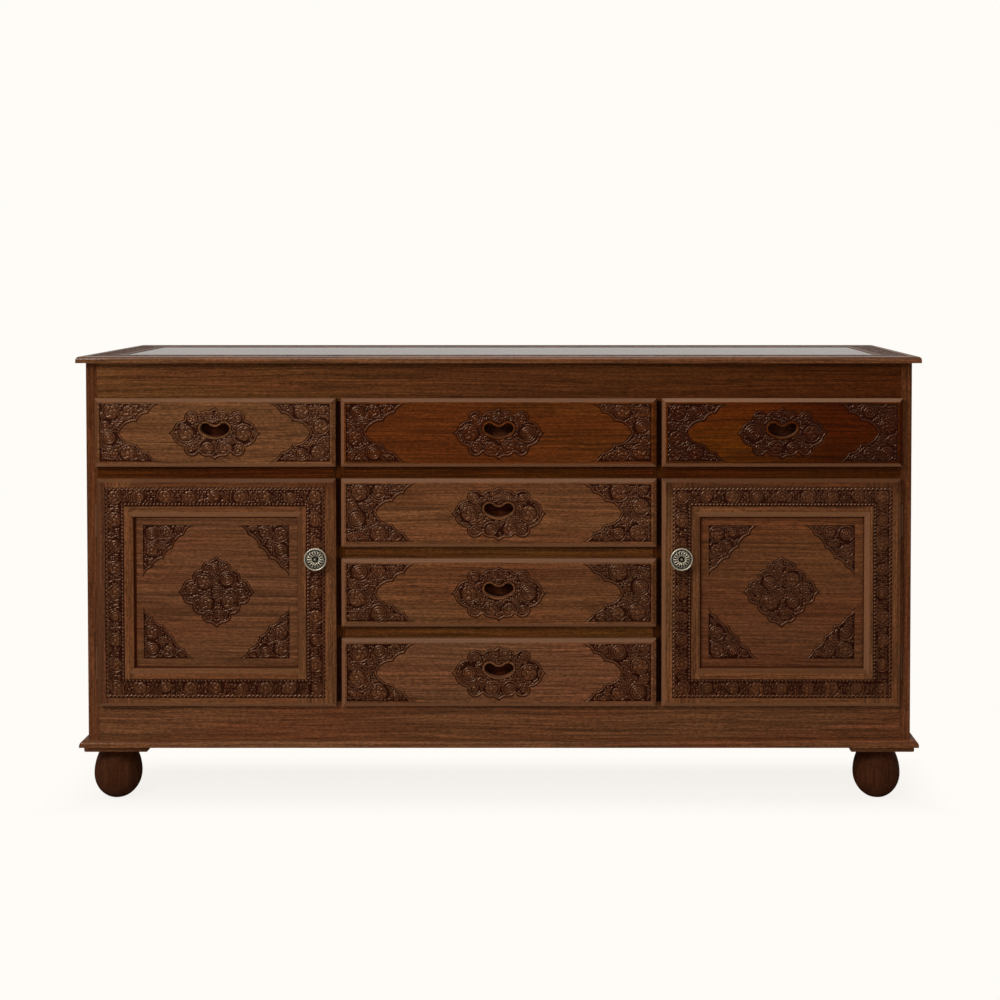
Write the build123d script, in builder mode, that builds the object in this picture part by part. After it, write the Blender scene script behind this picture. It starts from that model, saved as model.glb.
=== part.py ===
from build123d import *
import os

# Carved sideboard with six drawers and two cupboards, on four turned feet.
# Millimetres. +X is to the right of someone facing it, +Y runs to the back, +Z is up.
# The origin lies on the floor, in the middle of the whole width and depth.

os.makedirs("parts", exist_ok=True)

# ------------------------------------------------------------------ driving dimensions

# carcass
case_width = 1649
case_depth = 462
case_height = 770
post_width = 22
post_depth = 40
frame_thickness = 22
frieze_height = 76.5
bottom_rail_height = 89.5
cross_rail_height = 36
mullion_width = 23
centre_opening = 616
drawer_rows = 4
side_panel_thickness = 8
side_panel_inset = 6
floor_thickness = 18
shelf_thickness = 16
shelf_setback = 30
back_frame_thickness = 20
back_muntin_width = 60
back_panel_thickness = 6
back_panel_inset = 7
arris = 0.8

# top board
top_thickness = 13
top_overhang = 16
top_frame_width = 75
top_edge_radius = 7
top_panel_drop = 1
top_band_margin = 20
top_band_width = 45

# feet and base
foot_height = 106.5
foot_radius = 47.5
foot_widest_height = 48
foot_sole_radius = 18
foot_neck_radius = 28
left_foot_shift = 13
block_size = 127
block_thickness = 11
block_overhang = 7
block_chamfer = 2
moulding_height = 13
moulding_projection = 15
moulding_radius = 9

# overlay fronts of drawers and doors
front_thickness = 16
front_gap = 0.5
front_lap = 6
post_lap = 1.5
bevel_width = 7
bevel_depth = 5
carving_depth = 2.5
field_margin = 10.5

# finger pull and the fields carved round it
pull_width = 59
pull_height = 29
pull_dip = 7.5
pull_lobe_radius = 11
pull_rim = 3.5
pull_rise = 5
scoop_width = 86
scoop_height = 46
scoop_depth = 9
top_medallion_length = 184
top_medallion_height = 107
top_end_field_length = 122
top_end_field_waist = 0.33
lower_medallion_length = 192
lower_medallion_height = 112
lower_end_field_length = 139
lower_end_field_waist = 0.43
medallion_drop = 1.5
end_field_scallop = 0.17
end_field_tip_scallop = 0.14
lobe_sides = 24

# drawer boxes
drawer_length = 400
drawer_side_thickness = 12
drawer_front_thickness = 18
drawer_bottom_thickness = 6
drawer_bottom_rise = 8
drawer_play = 2.5
drawer_headroom = 5
runner_gap = 0.4
runner_width = 20

# doors
hinge_stile_width = 72
lock_stile_width = 76
door_rail_width = 76
door_inner_bevel = 10
door_inner_bevel_depth = 4
door_panel_thickness = 6
door_band_margin = 17
door_band_width = 38
door_medallion_length = 154
door_medallion_height = 146
spandrel_margin = 18
spandrel_length = 104
spandrel_height = 107
spandrel_scallop = 0.16

# knobs, as radii and heights above the bottom of the carved band
knob_reach = 22
knob_radius = 22.5
knob_stem_radius = 6
knob_base_radius = 10
knob_base_height = 2.5
knob_rim_width = 3
knob_rim_stand = 3
knob_groove_width = 2
knob_bowl_depth = 7
knob_saucer_thickness = 5
knob_dome_rise = 4
knob_eye_radius = 3.2
knob_rise = 70

# hinges and catches
hinge_height = 64
hinge_end_distance = 85
leaf_thickness = 1.2
leaf_depth = 17
door_leaf_depth = 9
knuckle_radius = 2.4
pin_radius = 1.25
pin_play = 0.05
pin_projection = 1
pivot_forward = 3
pivot_outboard = 2.5
door_edge_play = 0.4
knuckle_play = 0.4
catch_width = 40
catch_depth = 18
catch_height = 14
catch_gap = 0.5
strike_thickness = 1.2
strike_width = 30
strike_height = 10

# ------------------------------------------------------------------ derived places

base_z = foot_height + block_thickness
case_top = base_z + case_height
opening_bottom = base_z + bottom_rail_height
opening_top = case_top - frieze_height
drawer_opening = (opening_top - opening_bottom - (drawer_rows - 1) * cross_rail_height) / drawer_rows
row_pitch = drawer_opening + cross_rail_height
front_height = drawer_opening + 2 * front_lap
row_z = [opening_bottom + row * row_pitch for row in range(drawer_rows)]

front_reach = front_gap + front_thickness + knob_reach
overall_depth = front_reach + case_depth
back_y = overall_depth / 2
face_y = back_y - case_depth
front_back_y = face_y - front_gap
front_y = front_back_y - front_thickness
inner_face_y = face_y + frame_thickness
inner_back_y = back_y - back_frame_thickness

case_half = case_width / 2
post_inner_x = case_half - post_width
mullion_in = centre_opening / 2
mullion_out = mullion_in + mullion_width

side_front_in = mullion_out - front_lap
side_front_out = post_inner_x + post_lap
side_front_width = side_front_out - side_front_in
side_front_x = (side_front_in + side_front_out) / 2
centre_front_width = centre_opening + 2 * front_lap


def front_plane(x, y, z):
    """A plane facing the front, its X to the right and its Y up."""
    return Plane((x, y, z), x_dir=(1, 0, 0), z_dir=(0, -1, 0))


def board(x_range, y_range, z_range, softened=0.0):
    """A square board between two places on each axis, its long edges eased if asked."""
    ranges = (x_range, y_range, z_range)
    centre = tuple(sum(ends) / 2 for ends in ranges)
    size = [max(ends) - min(ends) for ends in ranges]
    with BuildPart() as piece:
        with Locations(centre):
            Box(*size)
        if softened:
            chamfer(piece.faces().sort_by(Axis.Y)[0].edges(), softened)
    return piece.part


def write(shape, label):
    """Name a finished piece and write it as its own node."""
    shape.label = label
    export_step(shape, f"parts/{label}.step")


def write_group(shapes, label):
    """Write several separate solids, each kept whole, as one node."""
    write(Compound(children=list(shapes)), label)


def side_range(side, near, far):
    """The X range between two distances from the middle, on one side of the cabinet."""
    return sorted((side * near, side * far))


# ------------------------------------------------------------------ posts and face frame

for side, name in ((-1, "left"), (1, "right")):
    post_x = side_range(side, post_inner_x, case_half)
    write(board(post_x, (face_y, face_y + post_depth), (base_z, case_top), arris), f"post_front_{name}")
    write(board(post_x, (back_y - post_depth, back_y), (base_z, case_top)), f"post_back_{name}")

face_range = (face_y, inner_face_y)
frame_x = (-post_inner_x, post_inner_x)
write(board(frame_x, face_range, (opening_top, case_top)), "frieze_rail")
write(board(frame_x, face_range, (base_z, opening_bottom)), "bottom_rail")

mullions = [
    board(side_range(side, mullion_in, mullion_out), face_range, (opening_bottom, opening_top))
    for side in (-1, 1)
]
write_group(mullions, "front_mullions")

rail_z = [(z - cross_rail_height, z) for z in row_z[1:]]
cross_rails = [board((-mullion_in, mullion_in), face_range, z_range) for z_range in rail_z]
cross_rails += [
    board(side_range(side, mullion_out, post_inner_x), face_range, rail_z[-1]) for side in (-1, 1)
]
write_group(cross_rails, "front_rails")

# ------------------------------------------------------------------ sides, back and inside

between_posts = (face_y + post_depth, back_y - post_depth)
side_rails = []
side_panels = []
for side in (-1, 1):
    rail_x = side_range(side, post_inner_x, case_half)
    panel_outer = case_half - side_panel_inset
    panel_x = side_range(side, panel_outer - side_panel_thickness, panel_outer)
    side_rails.append(board(rail_x, between_posts, (opening_top, case_top)))
    side_rails.append(board(rail_x, between_posts, (base_z, opening_bottom)))
    side_panels.append(board(panel_x, between_posts, (opening_bottom, opening_top)))
write_group(side_rails, "side_rails")
write_group(side_panels, "side_panels")

inner_range = (inner_face_y, inner_back_y)
write(board(frame_x, inner_range, (opening_bottom - floor_thickness, opening_bottom)), "bottom_board")
for side, name in ((-1, "left"), (1, "right")):
    partition_x = side_range(side, mullion_in, mullion_out)
    write(board(partition_x, inner_range, (opening_bottom, case_top)), f"partition_{name}")

muntin_mid = (mullion_in + mullion_out) / 2
muntin_in = muntin_mid - back_muntin_width / 2
muntin_out = muntin_mid + back_muntin_width / 2
back_range = (inner_back_y, back_y)
back_frame = [
    board(frame_x, back_range, (opening_top, case_top)),
    board(frame_x, back_range, (base_z, opening_bottom)),
]
for side in (-1, 1):
    muntin_x = side_range(side, muntin_in, muntin_out)
    back_frame.append(board(muntin_x, back_range, (opening_bottom, opening_top)))
write_group(back_frame, "back_frame")

back_panel_y = (back_y - back_panel_inset - back_panel_thickness, back_y - back_panel_inset)
back_panels = [
    board(x_range, back_panel_y, (opening_bottom, opening_top))
    for x_range in ((-post_inner_x, -muntin_out), (-muntin_in, muntin_in), (muntin_out, post_inner_x))
]
write_group(back_panels, "back_panels")

shelf_z = (opening_bottom + rail_z[-1][0] - shelf_thickness) / 2
shelves = [
    board(
        side_range(side, mullion_out, post_inner_x),
        (face_y + shelf_setback, inner_back_y),
        (shelf_z, shelf_z + shelf_thickness),
    )
    for side in (-1, 1)
]
write_group(shelves, "shelves")

# A runner under each side of each drawer fills the height of the rail in front of it, so that
# it also keeps the drawer below from tipping. The top row has kickers over it instead.
column_edges = (
    (-post_inner_x, -mullion_out),
    (-mullion_in, mullion_in),
    (mullion_out, post_inner_x),
)
top_kicker_z = (opening_top, opening_top + cross_rail_height)
runners = []
for column, (left_x, right_x) in enumerate(column_edges):
    column_rails = rail_z if column == 1 else rail_z[-1:]
    for z_range in [*column_rails, top_kicker_z]:
        runners.append(board((left_x, left_x + runner_width), inner_range, z_range))
        runners.append(board((right_x - runner_width, right_x), inner_range, z_range))
write_group(runners, "drawer_runners")

# ------------------------------------------------------------------ top board

top_half = case_half + top_overhang
top_front_y = face_y - top_overhang
top_width = 2 * top_half
top_depth = back_y - top_front_y
top_mid_y = (back_y + top_front_y) / 2
top_z = case_top + top_thickness


def ring(width, depth, inset, band):
    """Sketch a rectangular band that lies an inset inside a rectangle."""
    Rectangle(width - 2 * inset, depth - 2 * inset)
    Rectangle(width - 2 * (inset + band), depth - 2 * (inset + band), mode=Mode.SUBTRACT)


with BuildPart() as top_ring:
    with BuildSketch(Plane((0, top_mid_y, case_top))):
        ring(top_width, top_depth, 0, top_frame_width)
    extrude(amount=top_thickness)
    upper_edges = top_ring.faces().sort_by(Axis.Z)[-1].outer_wire().edges()
    fillet(upper_edges.sort_by(Axis.Y)[:-1], top_edge_radius)
    with BuildSketch(Plane((0, top_mid_y, top_z))):
        ring(top_width, top_depth, top_band_margin, top_band_width)
    extrude(amount=-carving_depth, mode=Mode.SUBTRACT)


def mitred_member(x_sign, y_sign):
    """The member of the top frame on one side, cut out of the ring along its mitres."""
    along, across = (top_width, top_depth) if y_sign else (top_depth, top_width)
    with BuildPart() as member:
        with BuildSketch(Plane((0, top_mid_y, case_top))) as wedge:
            with BuildLine():
                outer = across / 2
                inner = outer - top_frame_width
                ends = [
                    (-along / 2, outer),
                    (along / 2, outer),
                    (along / 2 - top_frame_width, inner),
                    (-along / 2 + top_frame_width, inner),
                ]
                if y_sign:
                    Polyline(*[(u, y_sign * v) for u, v in ends], close=True)
                else:
                    Polyline(*[(x_sign * v, u) for u, v in ends], close=True)
            make_face()
        extrude(amount=top_thickness)
        add(top_ring.part, mode=Mode.INTERSECT)
    return member.part


write(mitred_member(0, -1), "top_frame_front")
write(mitred_member(0, 1), "top_frame_back")
write(mitred_member(-1, 0), "top_frame_left")
write(mitred_member(1, 0), "top_frame_right")

panel_half = top_half - top_frame_width
panel_y = (top_front_y + top_frame_width, back_y - top_frame_width)
write(board((-panel_half, panel_half), panel_y, (case_top, top_z - top_panel_drop)), "top_panel")

# ------------------------------------------------------------------ base moulding and feet

moulding_half = case_half + moulding_projection
moulding_front_y = face_y - moulding_projection
with BuildPart() as moulding_ring:
    moulding_mid_y = (moulding_front_y + back_y) / 2
    with BuildSketch(Plane((0, moulding_mid_y, base_z))):
        Rectangle(2 * moulding_half, back_y - moulding_front_y)
    extrude(amount=moulding_height)
    upper_edges = moulding_ring.faces().sort_by(Axis.Z)[-1].edges()
    fillet(upper_edges.sort_by(Axis.Y)[:-1], moulding_radius)
    with BuildSketch(Plane((0, (face_y + back_y) / 2, base_z))):
        Rectangle(case_width, case_depth)
    extrude(amount=moulding_height, mode=Mode.SUBTRACT)

with BuildPart() as moulding_front:
    with BuildSketch(Plane.XY.offset(base_z)):
        with BuildLine():
            Polyline(
                (-moulding_half, moulding_front_y),
                (moulding_half, moulding_front_y),
                (case_half, face_y),
                (-case_half, face_y),
                close=True,
            )
        make_face()
    extrude(amount=moulding_height)
    add(moulding_ring.part, mode=Mode.INTERSECT)

moulding_sides = []
for side in (-1, 1):
    with BuildPart() as moulding_side:
        with BuildSketch(Plane.XY.offset(base_z)):
            with BuildLine():
                Polyline(
                    (side * moulding_half, moulding_front_y),
                    (side * case_half, face_y),
                    (side * case_half, back_y),
                    (side * moulding_half, back_y),
                    close=True,
                )
            make_face()
        extrude(amount=moulding_height)
        add(moulding_ring.part, mode=Mode.INTERSECT)
    moulding_sides.append(moulding_side.part)
write_group([moulding_front.part, *moulding_sides], "base_moulding")

block_x = case_half + block_overhang - block_size / 2
block_front_y = face_y - block_overhang + block_size / 2
block_back_y = back_y - block_size / 2
foot_places = [(side * block_x, y) for y in (block_front_y, block_back_y) for side in (-1, 1)]

with BuildPart() as foot_blocks:
    with Locations([(x, y, base_z - block_thickness / 2) for x, y in foot_places]):
        Box(block_size, block_size, block_thickness)
    chamfer(foot_blocks.faces().group_by(Axis.Z)[0].edges(), block_chamfer)
write(foot_blocks.part, "foot_blocks")


# A turned foot: narrow at the sole, fullest below its middle, and drawn in towards the neck. The left
# feet stand a little further out than the middle of their blocks.
foot_rise = foot_height - foot_widest_height
with BuildPart() as feet:
    for x, y in foot_places:
        foot_x = x - left_foot_shift if x < 0 else x
        with BuildSketch(Plane((foot_x, y, 0), x_dir=(1, 0, 0), z_dir=(0, -1, 0))):
            with BuildLine():
                Polyline(
                    (0, 0),
                    (foot_sole_radius, 0),
                    (0.66 * foot_radius, 0.19 * foot_widest_height),
                    (0.87 * foot_radius, 0.45 * foot_widest_height),
                    (0.98 * foot_radius, 0.78 * foot_widest_height),
                    (foot_radius, foot_widest_height + 0.08 * foot_rise),
                    (0.96 * foot_radius, foot_widest_height + 0.36 * foot_rise),
                    (0.84 * foot_radius, foot_widest_height + 0.68 * foot_rise),
                    (foot_neck_radius, foot_height),
                    (0, foot_height),
                    close=True,
                )
            make_face()
        revolve(axis=Axis((foot_x, y, 0), (0, 0, 1)))
write(feet.part, "feet")

# ------------------------------------------------------------------ outlines of the carved fields


def kidney(grow=0.0):
    """A bean: two round lobes, one long arc under them and a shallow sag between them."""
    lobe = pull_lobe_radius + grow
    half = pull_height / 2
    lobe_x = pull_width / 2 - pull_lobe_radius
    lobe_y = half - pull_lobe_radius
    # centre distances from a lobe to the sag's circle and to the lower arc's circle
    to_sag = (lobe_x**2 + pull_dip**2) / (2 * pull_dip)
    drop = pull_height - 2 * pull_lobe_radius
    to_base = (lobe_x**2 + drop**2) / (2 * drop)
    sag_rise = to_sag - pull_dip
    base_rise = to_base - drop
    sag_x = lobe_x - lobe * lobe_x / to_sag
    sag_y = lobe_y + lobe * sag_rise / to_sag
    base_x = lobe_x + lobe * lobe_x / to_base
    base_y = lobe_y - lobe * base_rise / to_base
    shoulder = lobe * 0.5**0.5
    with BuildLine() as outline:
        ThreePointArc((-sag_x, sag_y), (0, half + grow - pull_dip), (sag_x, sag_y))
        ThreePointArc((sag_x, sag_y), (lobe_x + shoulder, lobe_y + shoulder), (base_x, base_y))
        ThreePointArc((base_x, base_y), (0, -half - grow), (-base_x, base_y))
        ThreePointArc((-base_x, base_y), (-lobe_x - shoulder, lobe_y + shoulder), (-sag_x, sag_y))
    make_face(outline.edges())


def ogee_tip(reach, base, width, hollow):
    """A pointed tip along +Y and its twin along -Y: a base, and two hollow flanks to the point."""
    with BuildLine() as outline:
        ThreePointArc((-width, base), (-width / 2 + hollow, (base + reach) / 2), (0, reach))
        ThreePointArc((0, reach), (width / 2 - hollow, (base + reach) / 2), (width, base))
        Line((width, base), (-width, base))
    make_face(outline.edges())


def ogee_tips(half_length, half_height, top_tip, side_tip):
    """Four points: one up and one down, one left and one right."""
    base, width = top_tip[0] * half_height, top_tip[1] * half_length
    ogee_tip(half_height, base, width, width / 6)
    ogee_tip(-half_height, -base, width, width / 6)
    base, width = side_tip[0] * half_length, side_tip[1] * half_height
    for way in (-1, 1):
        with BuildLine() as outline:
            middle = (way * (base + half_length) / 2, width / 2 - width / 6)
            ThreePointArc((way * base, width), middle, (way * half_length, 0))
            ThreePointArc((way * half_length, 0), (middle[0], -middle[1]), (way * base, -width))
            Line((way * base, -width), (way * base, width))
        make_face(outline.edges())


def lobes(half_length, half_height, share_x, share_y, share_radius):
    """Four equal round lobes at the corners of a rectangle, or two where it has no height."""
    rows = 2 if share_y else 1
    with GridLocations(2 * share_x * half_length, 2 * share_y * half_height, 2, rows):
        RegularPolygon(share_radius * half_height, lobe_sides)


def drawer_medallion(length, height):
    """A long medallion: a broad lobe at each end, small corner lobes, paired lobes above and below."""
    half_length = length / 2
    half_height = height / 2
    lobes(half_length, half_height, 0.625, 0, 0.515)
    lobes(half_length, half_height, 0.49, 0.57, 0.295)
    lobes(half_length, half_height, 0.18, 0.57, 0.305)
    Rectangle(1.2 * half_length, 1.0 * half_height)
    Rectangle(0.28 * half_length, 1.72 * half_height)
    ogee_tips(half_length, half_height, (0.86, 0.14), (0.865, 0.25))


def door_medallion():
    """A medallion as high as it is wide, with three lobes between each two points."""
    half_length = door_medallion_length / 2
    half_height = door_medallion_height / 2
    lobes(half_length, half_height, 0.18, 0.64, 0.225)
    lobes(half_length, half_height, 0.40, 0.39, 0.245)
    lobes(half_length, half_height, 0.67, 0.13, 0.225)
    Rectangle(0.9 * half_length, 0.9 * half_height)
    Rectangle(0.36 * half_length, 1.68 * half_height)
    Rectangle(1.7 * half_length, 0.36 * half_height)
    ogee_tips(half_length, half_height, (0.84, 0.23), (0.85, 0.22))


def scalloped_edge(points, scallops):
    """Hollow arcs from point to point, which bulge to the left of the way they run."""
    for start, end, scallop in zip(points, points[1:], scallops):
        chord_x = end[0] - start[0]
        chord_y = end[1] - start[1]
        middle_x = (start[0] + end[0]) / 2 - chord_y * scallop
        middle_y = (start[1] + end[1]) / 2 + chord_x * scallop
        ThreePointArc(start, (middle_x, middle_y), end)


def end_field(width, length, waist):
    """The field at a drawer front's left end: full height there, waisted in the middle."""
    half_height = front_height / 2 - field_margin
    edge_x = field_margin - width / 2
    upper = [(0, 0), (0.42, 0.38), (0.70, 0.66), (1, 1)]
    lower = [(u, -v) for u, v in reversed(upper)]
    shares = lower + upper[1:]
    points = [(edge_x + (waist + u * (1 - waist)) * length, v * half_height) for u, v in shares]
    scallops = [end_field_tip_scallop, end_field_scallop, end_field_scallop]
    with BuildLine() as outline:
        scalloped_edge(points, scallops + scallops[::-1])
        Polyline(points[-1], (edge_x, half_height), (edge_x, -half_height), points[0])
    make_face(outline.edges())


def spandrel(corner_x, corner_y):
    """A corner field whose long side steps down in scallops, for the lower left corner."""
    shares = [(1, 0), (0.79, 0.19), (0.58, 0.43), (0.40, 0.63), (0.17, 0.80), (0, 1)]
    points = [(corner_x + u * spandrel_length, corner_y + v * spandrel_height) for u, v in shares]
    with BuildLine() as outline:
        scalloped_edge(points, [spandrel_scallop] * (len(points) - 1))
        Polyline(points[-1], (corner_x, corner_y), points[0])
    make_face(outline.edges())


# ------------------------------------------------------------------ drawers


def bevelled_slab(x, z, width, height):
    """An overlay front: a flat board whose front edges fall away in a wide mitred bevel."""
    with BuildPart() as slab:
        with BuildSketch(front_plane(x, front_back_y, z)):
            Rectangle(width, height)
        extrude(amount=front_thickness - bevel_depth)
        with BuildSketch(front_plane(x, front_y + bevel_depth, z)):
            Rectangle(width, height)
        with BuildSketch(front_plane(x, front_y, z)):
            Rectangle(width - 2 * bevel_width, height - 2 * bevel_width)
        loft()
    return slab.part


def drawer_front(x, z, width, carving):
    """The carved overlay front with its finger pull cut right through."""
    medallion_length, medallion_height, field_length, field_waist = carving
    with BuildPart() as front:
        add(bevelled_slab(x, z, width, front_height))
        with BuildSketch(front_plane(x, front_y, z - medallion_drop)):
            drawer_medallion(medallion_length, medallion_height)
        extrude(amount=-carving_depth, mode=Mode.SUBTRACT)
        with BuildSketch(front_plane(x, front_y, z)):
            end_field(width, field_length, field_waist)
            mirror(about=Plane.YZ)
        extrude(amount=-carving_depth, mode=Mode.SUBTRACT)
        with BuildSketch(front_plane(x, front_y + carving_depth, z + pull_rise)):
            kidney(pull_rim)
        extrude(amount=carving_depth)
        with BuildSketch(front_plane(x, front_y, z + pull_rise)):
            kidney()
        extrude(amount=-front_thickness, mode=Mode.SUBTRACT)
    return front.part


def drawer_box(x, bottom_z, width):
    """Inner front with the scoop for the fingers, two sides and a back, as four boards."""
    box_half = width / 2 - drawer_play
    box_z = (bottom_z + runner_gap, bottom_z + drawer_opening - drawer_headroom)
    box_back_y = front_back_y + drawer_length
    side_in = box_half - drawer_side_thickness
    pull_z = bottom_z + drawer_opening / 2 + pull_rise
    with BuildPart() as inner_front:
        add(board((x - side_in, x + side_in), (front_back_y, front_back_y + drawer_front_thickness), box_z))
        with BuildSketch(front_plane(x, front_back_y, pull_z)):
            SlotOverall(scoop_width, scoop_height)
        extrude(amount=-scoop_depth, mode=Mode.SUBTRACT)
    sides = [
        board((x + way * side_in, x + way * box_half), (front_back_y, box_back_y), box_z)
        for way in (-1, 1)
    ]
    back_range = (box_back_y - drawer_side_thickness, box_back_y)
    back = board((x - side_in, x + side_in), back_range, box_z)
    return [inner_front.part, *sides, back]


def drawer_bottom(x, bottom_z, width):
    """The thin board let in between the four boards of the box."""
    side_in = width / 2 - drawer_play - drawer_side_thickness
    low_z = bottom_z + runner_gap + drawer_bottom_rise
    y_range = (front_back_y + drawer_front_thickness, front_back_y + drawer_length - drawer_side_thickness)
    return board((x - side_in, x + side_in), y_range, (low_z, low_z + drawer_bottom_thickness))


def write_drawer(name, front_x, box_x, front_width, box_width, bottom_z, carving):
    """The three nodes of one drawer: carved front, box and bottom."""
    front_z = bottom_z + drawer_opening / 2
    write(drawer_front(front_x, front_z, front_width, carving), f"{name}_front")
    write_group(drawer_box(box_x, bottom_z, box_width), f"{name}_box")
    write(drawer_bottom(box_x, bottom_z, box_width), f"{name}_bottom")


top_carving = (top_medallion_length, top_medallion_height, top_end_field_length, top_end_field_waist)
lower_medallion = (lower_medallion_length, lower_medallion_height)
lower_carving = (*lower_medallion, lower_end_field_length, lower_end_field_waist)
side_opening = post_inner_x - mullion_out
side_opening_x = (post_inner_x + mullion_out) / 2
*lower_rows_z, top_row_z = row_z

for side, name in ((-1, "drawer_top_left"), (1, "drawer_top_right")):
    side_x = (side * side_front_x, side * side_opening_x)
    write_drawer(name, *side_x, side_front_width, side_opening, top_row_z, top_carving)
write_drawer("drawer_top_middle", 0, 0, centre_front_width, centre_opening, top_row_z, top_carving)
lower_names = ("drawer_bottom_middle", "drawer_lower_middle", "drawer_upper_middle")
for name, bottom_z in zip(lower_names, lower_rows_z):
    write_drawer(name, 0, 0, centre_front_width, centre_opening, bottom_z, lower_carving)

# ------------------------------------------------------------------ doors

door_low = opening_bottom - front_lap
door_high = rail_z[-1][0] + front_lap
door_height = door_high - door_low
door_z = (door_low + door_high) / 2
door_out = post_inner_x - leaf_thickness - door_edge_play
door_width = door_out - side_front_in
door_opening_width = door_width - lock_stile_width - hinge_stile_width
door_opening_height = door_height - 2 * door_rail_width
pivot_x = post_inner_x + pivot_outboard
pivot_y = face_y - pivot_forward
knob_x = side_front_in + lock_stile_width / 2
hinge_z = (door_low + hinge_end_distance, door_high - hinge_end_distance)


def door_frame_blank(door_x, x):
    """The whole door frame, before it is parted: a slab about door_x, opened and carved about x."""
    band_outer_width = door_width - lock_stile_width + hinge_stile_width
    with BuildPart() as blank:
        add(bevelled_slab(door_x, door_z, door_width, door_height))
        with BuildSketch(front_plane(x, front_back_y, door_z)):
            Rectangle(door_opening_width, door_opening_height)
        extrude(amount=front_thickness, mode=Mode.SUBTRACT)
        with BuildSketch(front_plane(x, front_y, door_z)):
            Rectangle(door_opening_width + 2 * door_inner_bevel, door_opening_height + 2 * door_inner_bevel)
        with BuildSketch(front_plane(x, front_y + door_inner_bevel_depth, door_z)):
            Rectangle(door_opening_width, door_opening_height)
        loft(mode=Mode.SUBTRACT)
        with BuildSketch(front_plane(x, front_y, door_z)):
            ring(band_outer_width, door_height, door_band_margin, door_band_width)
        extrude(amount=-carving_depth, mode=Mode.SUBTRACT)
    return blank.part


def parted(blank, x_range, z_range):
    """The part of a blank that lies between two places across and two places up."""
    with BuildPart() as piece:
        add(board(x_range, (front_y, front_back_y), z_range))
        add(blank, mode=Mode.INTERSECT)
    return piece.part


def door_panel(x):
    """The recessed panel with a medallion in its middle and a spandrel in each corner."""
    panel_front_y = front_back_y - door_panel_thickness
    corner_x = spandrel_margin - door_opening_width / 2
    corner_y = spandrel_margin - door_opening_height / 2
    with BuildPart() as panel:
        with BuildSketch(front_plane(x, front_back_y, door_z)):
            Rectangle(door_opening_width, door_opening_height)
        extrude(amount=door_panel_thickness)
        with BuildSketch(front_plane(x, panel_front_y, door_z)):
            spandrel(corner_x, corner_y)
            mirror(about=Plane.YZ)
            mirror(about=Plane.XZ)
            door_medallion()
        extrude(amount=-carving_depth, mode=Mode.SUBTRACT)
    return panel.part


def door_knob(x):
    """A turned brass knob: base, stem, saucer, raised rim, groove, crown, pit and an eye in the pit."""
    floor_y = front_y + carving_depth
    height = knob_reach + carving_depth
    groove_floor = height - knob_bowl_depth
    stem_top = groove_floor - knob_saucer_thickness
    rim_in = knob_radius - knob_rim_width
    rim_top = groove_floor + knob_rim_stand
    dome_out = rim_in - knob_groove_width
    dome_top = groove_floor + knob_dome_rise
    pit_radius = 2 * knob_eye_radius
    with BuildPart() as knob:
        with BuildSketch(Plane((x, floor_y, door_z + knob_rise), x_dir=(1, 0, 0), z_dir=(0, 0, -1))):
            with BuildLine():
                Polyline(
                    (0, 0),
                    (knob_base_radius, 0),
                    (knob_base_radius, knob_base_height),
                    (knob_stem_radius, knob_base_height),
                    (knob_stem_radius, stem_top),
                    (knob_radius, groove_floor),
                    (knob_radius, rim_top),
                    (rim_in, rim_top),
                    (rim_in, groove_floor),
                    (dome_out, groove_floor),
                    (dome_out - knob_dome_rise, dome_top),
                    (pit_radius, dome_top),
                    (pit_radius, groove_floor),
                    (knob_eye_radius, groove_floor),
                    (knob_eye_radius, height),
                    (0, height),
                    close=True,
                )
            make_face()
        revolve(axis=Axis((x, floor_y, door_z + knob_rise), (0, 1, 0)))
    return knob.part


def knuckle(side, low_z, high_z):
    """A short barrel round the pivot with a strap from it to the leaves, as a sketch extruded up."""
    with BuildPart() as barrel:
        with BuildSketch(Plane((side * pivot_x, pivot_y, low_z))):
            Circle(knuckle_radius)
            strap = pivot_x - door_out
            with Locations((-side * strap / 2, 0)):
                Rectangle(strap, leaf_thickness)
            Circle(pin_radius + pin_play, mode=Mode.SUBTRACT)
        extrude(amount=high_z - low_z)
    return barrel.part


def trimmed_knuckle(side, low_z, high_z):
    """A knuckle of the post's leaf, its strap ending at that leaf and clear of the door's edge."""
    keep_x = side_range(side, post_inner_x - leaf_thickness, pivot_x + knuckle_radius)
    keep_y = (pivot_y - knuckle_radius, pivot_y + knuckle_radius)
    with BuildPart() as trimmed:
        add(knuckle(side, low_z, high_z))
        add(board(keep_x, keep_y, (low_z, high_z)), mode=Mode.INTERSECT)
    return trimmed.part


def hinge(side, z):
    """One butt hinge: the leaf on the post, the leaf on the door and the pin."""
    third = hinge_height / 3
    low, high = z - hinge_height / 2, z + hinge_height / 2
    outer_knuckles = ((low, low + third - knuckle_play), (high - third + knuckle_play, high))
    frame_x_range = side_range(side, post_inner_x - leaf_thickness, post_inner_x)
    door_x_range = side_range(side, door_out, door_out + leaf_thickness)
    with BuildPart() as frame_leaf:
        add(board(frame_x_range, (face_y, face_y + leaf_depth), (low, high)))
        for low_z, high_z in outer_knuckles:
            add(board(frame_x_range, (pivot_y, face_y), (low_z, high_z)))
            add(trimmed_knuckle(side, low_z, high_z))
    with BuildPart() as door_leaf:
        add(board(door_x_range, (front_back_y - door_leaf_depth, pivot_y - leaf_thickness), (low, high)))
        add(board(door_x_range, (pivot_y - leaf_thickness, pivot_y), (low + third, high - third)))
        add(knuckle(side, low + third, high - third))
    with BuildPart() as pin:
        with BuildSketch(Plane((side * pivot_x, pivot_y, low - pin_projection))):
            Circle(pin_radius)
        extrude(amount=hinge_height + 2 * pin_projection)
    return frame_leaf.part, door_leaf.part, pin.part


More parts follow.
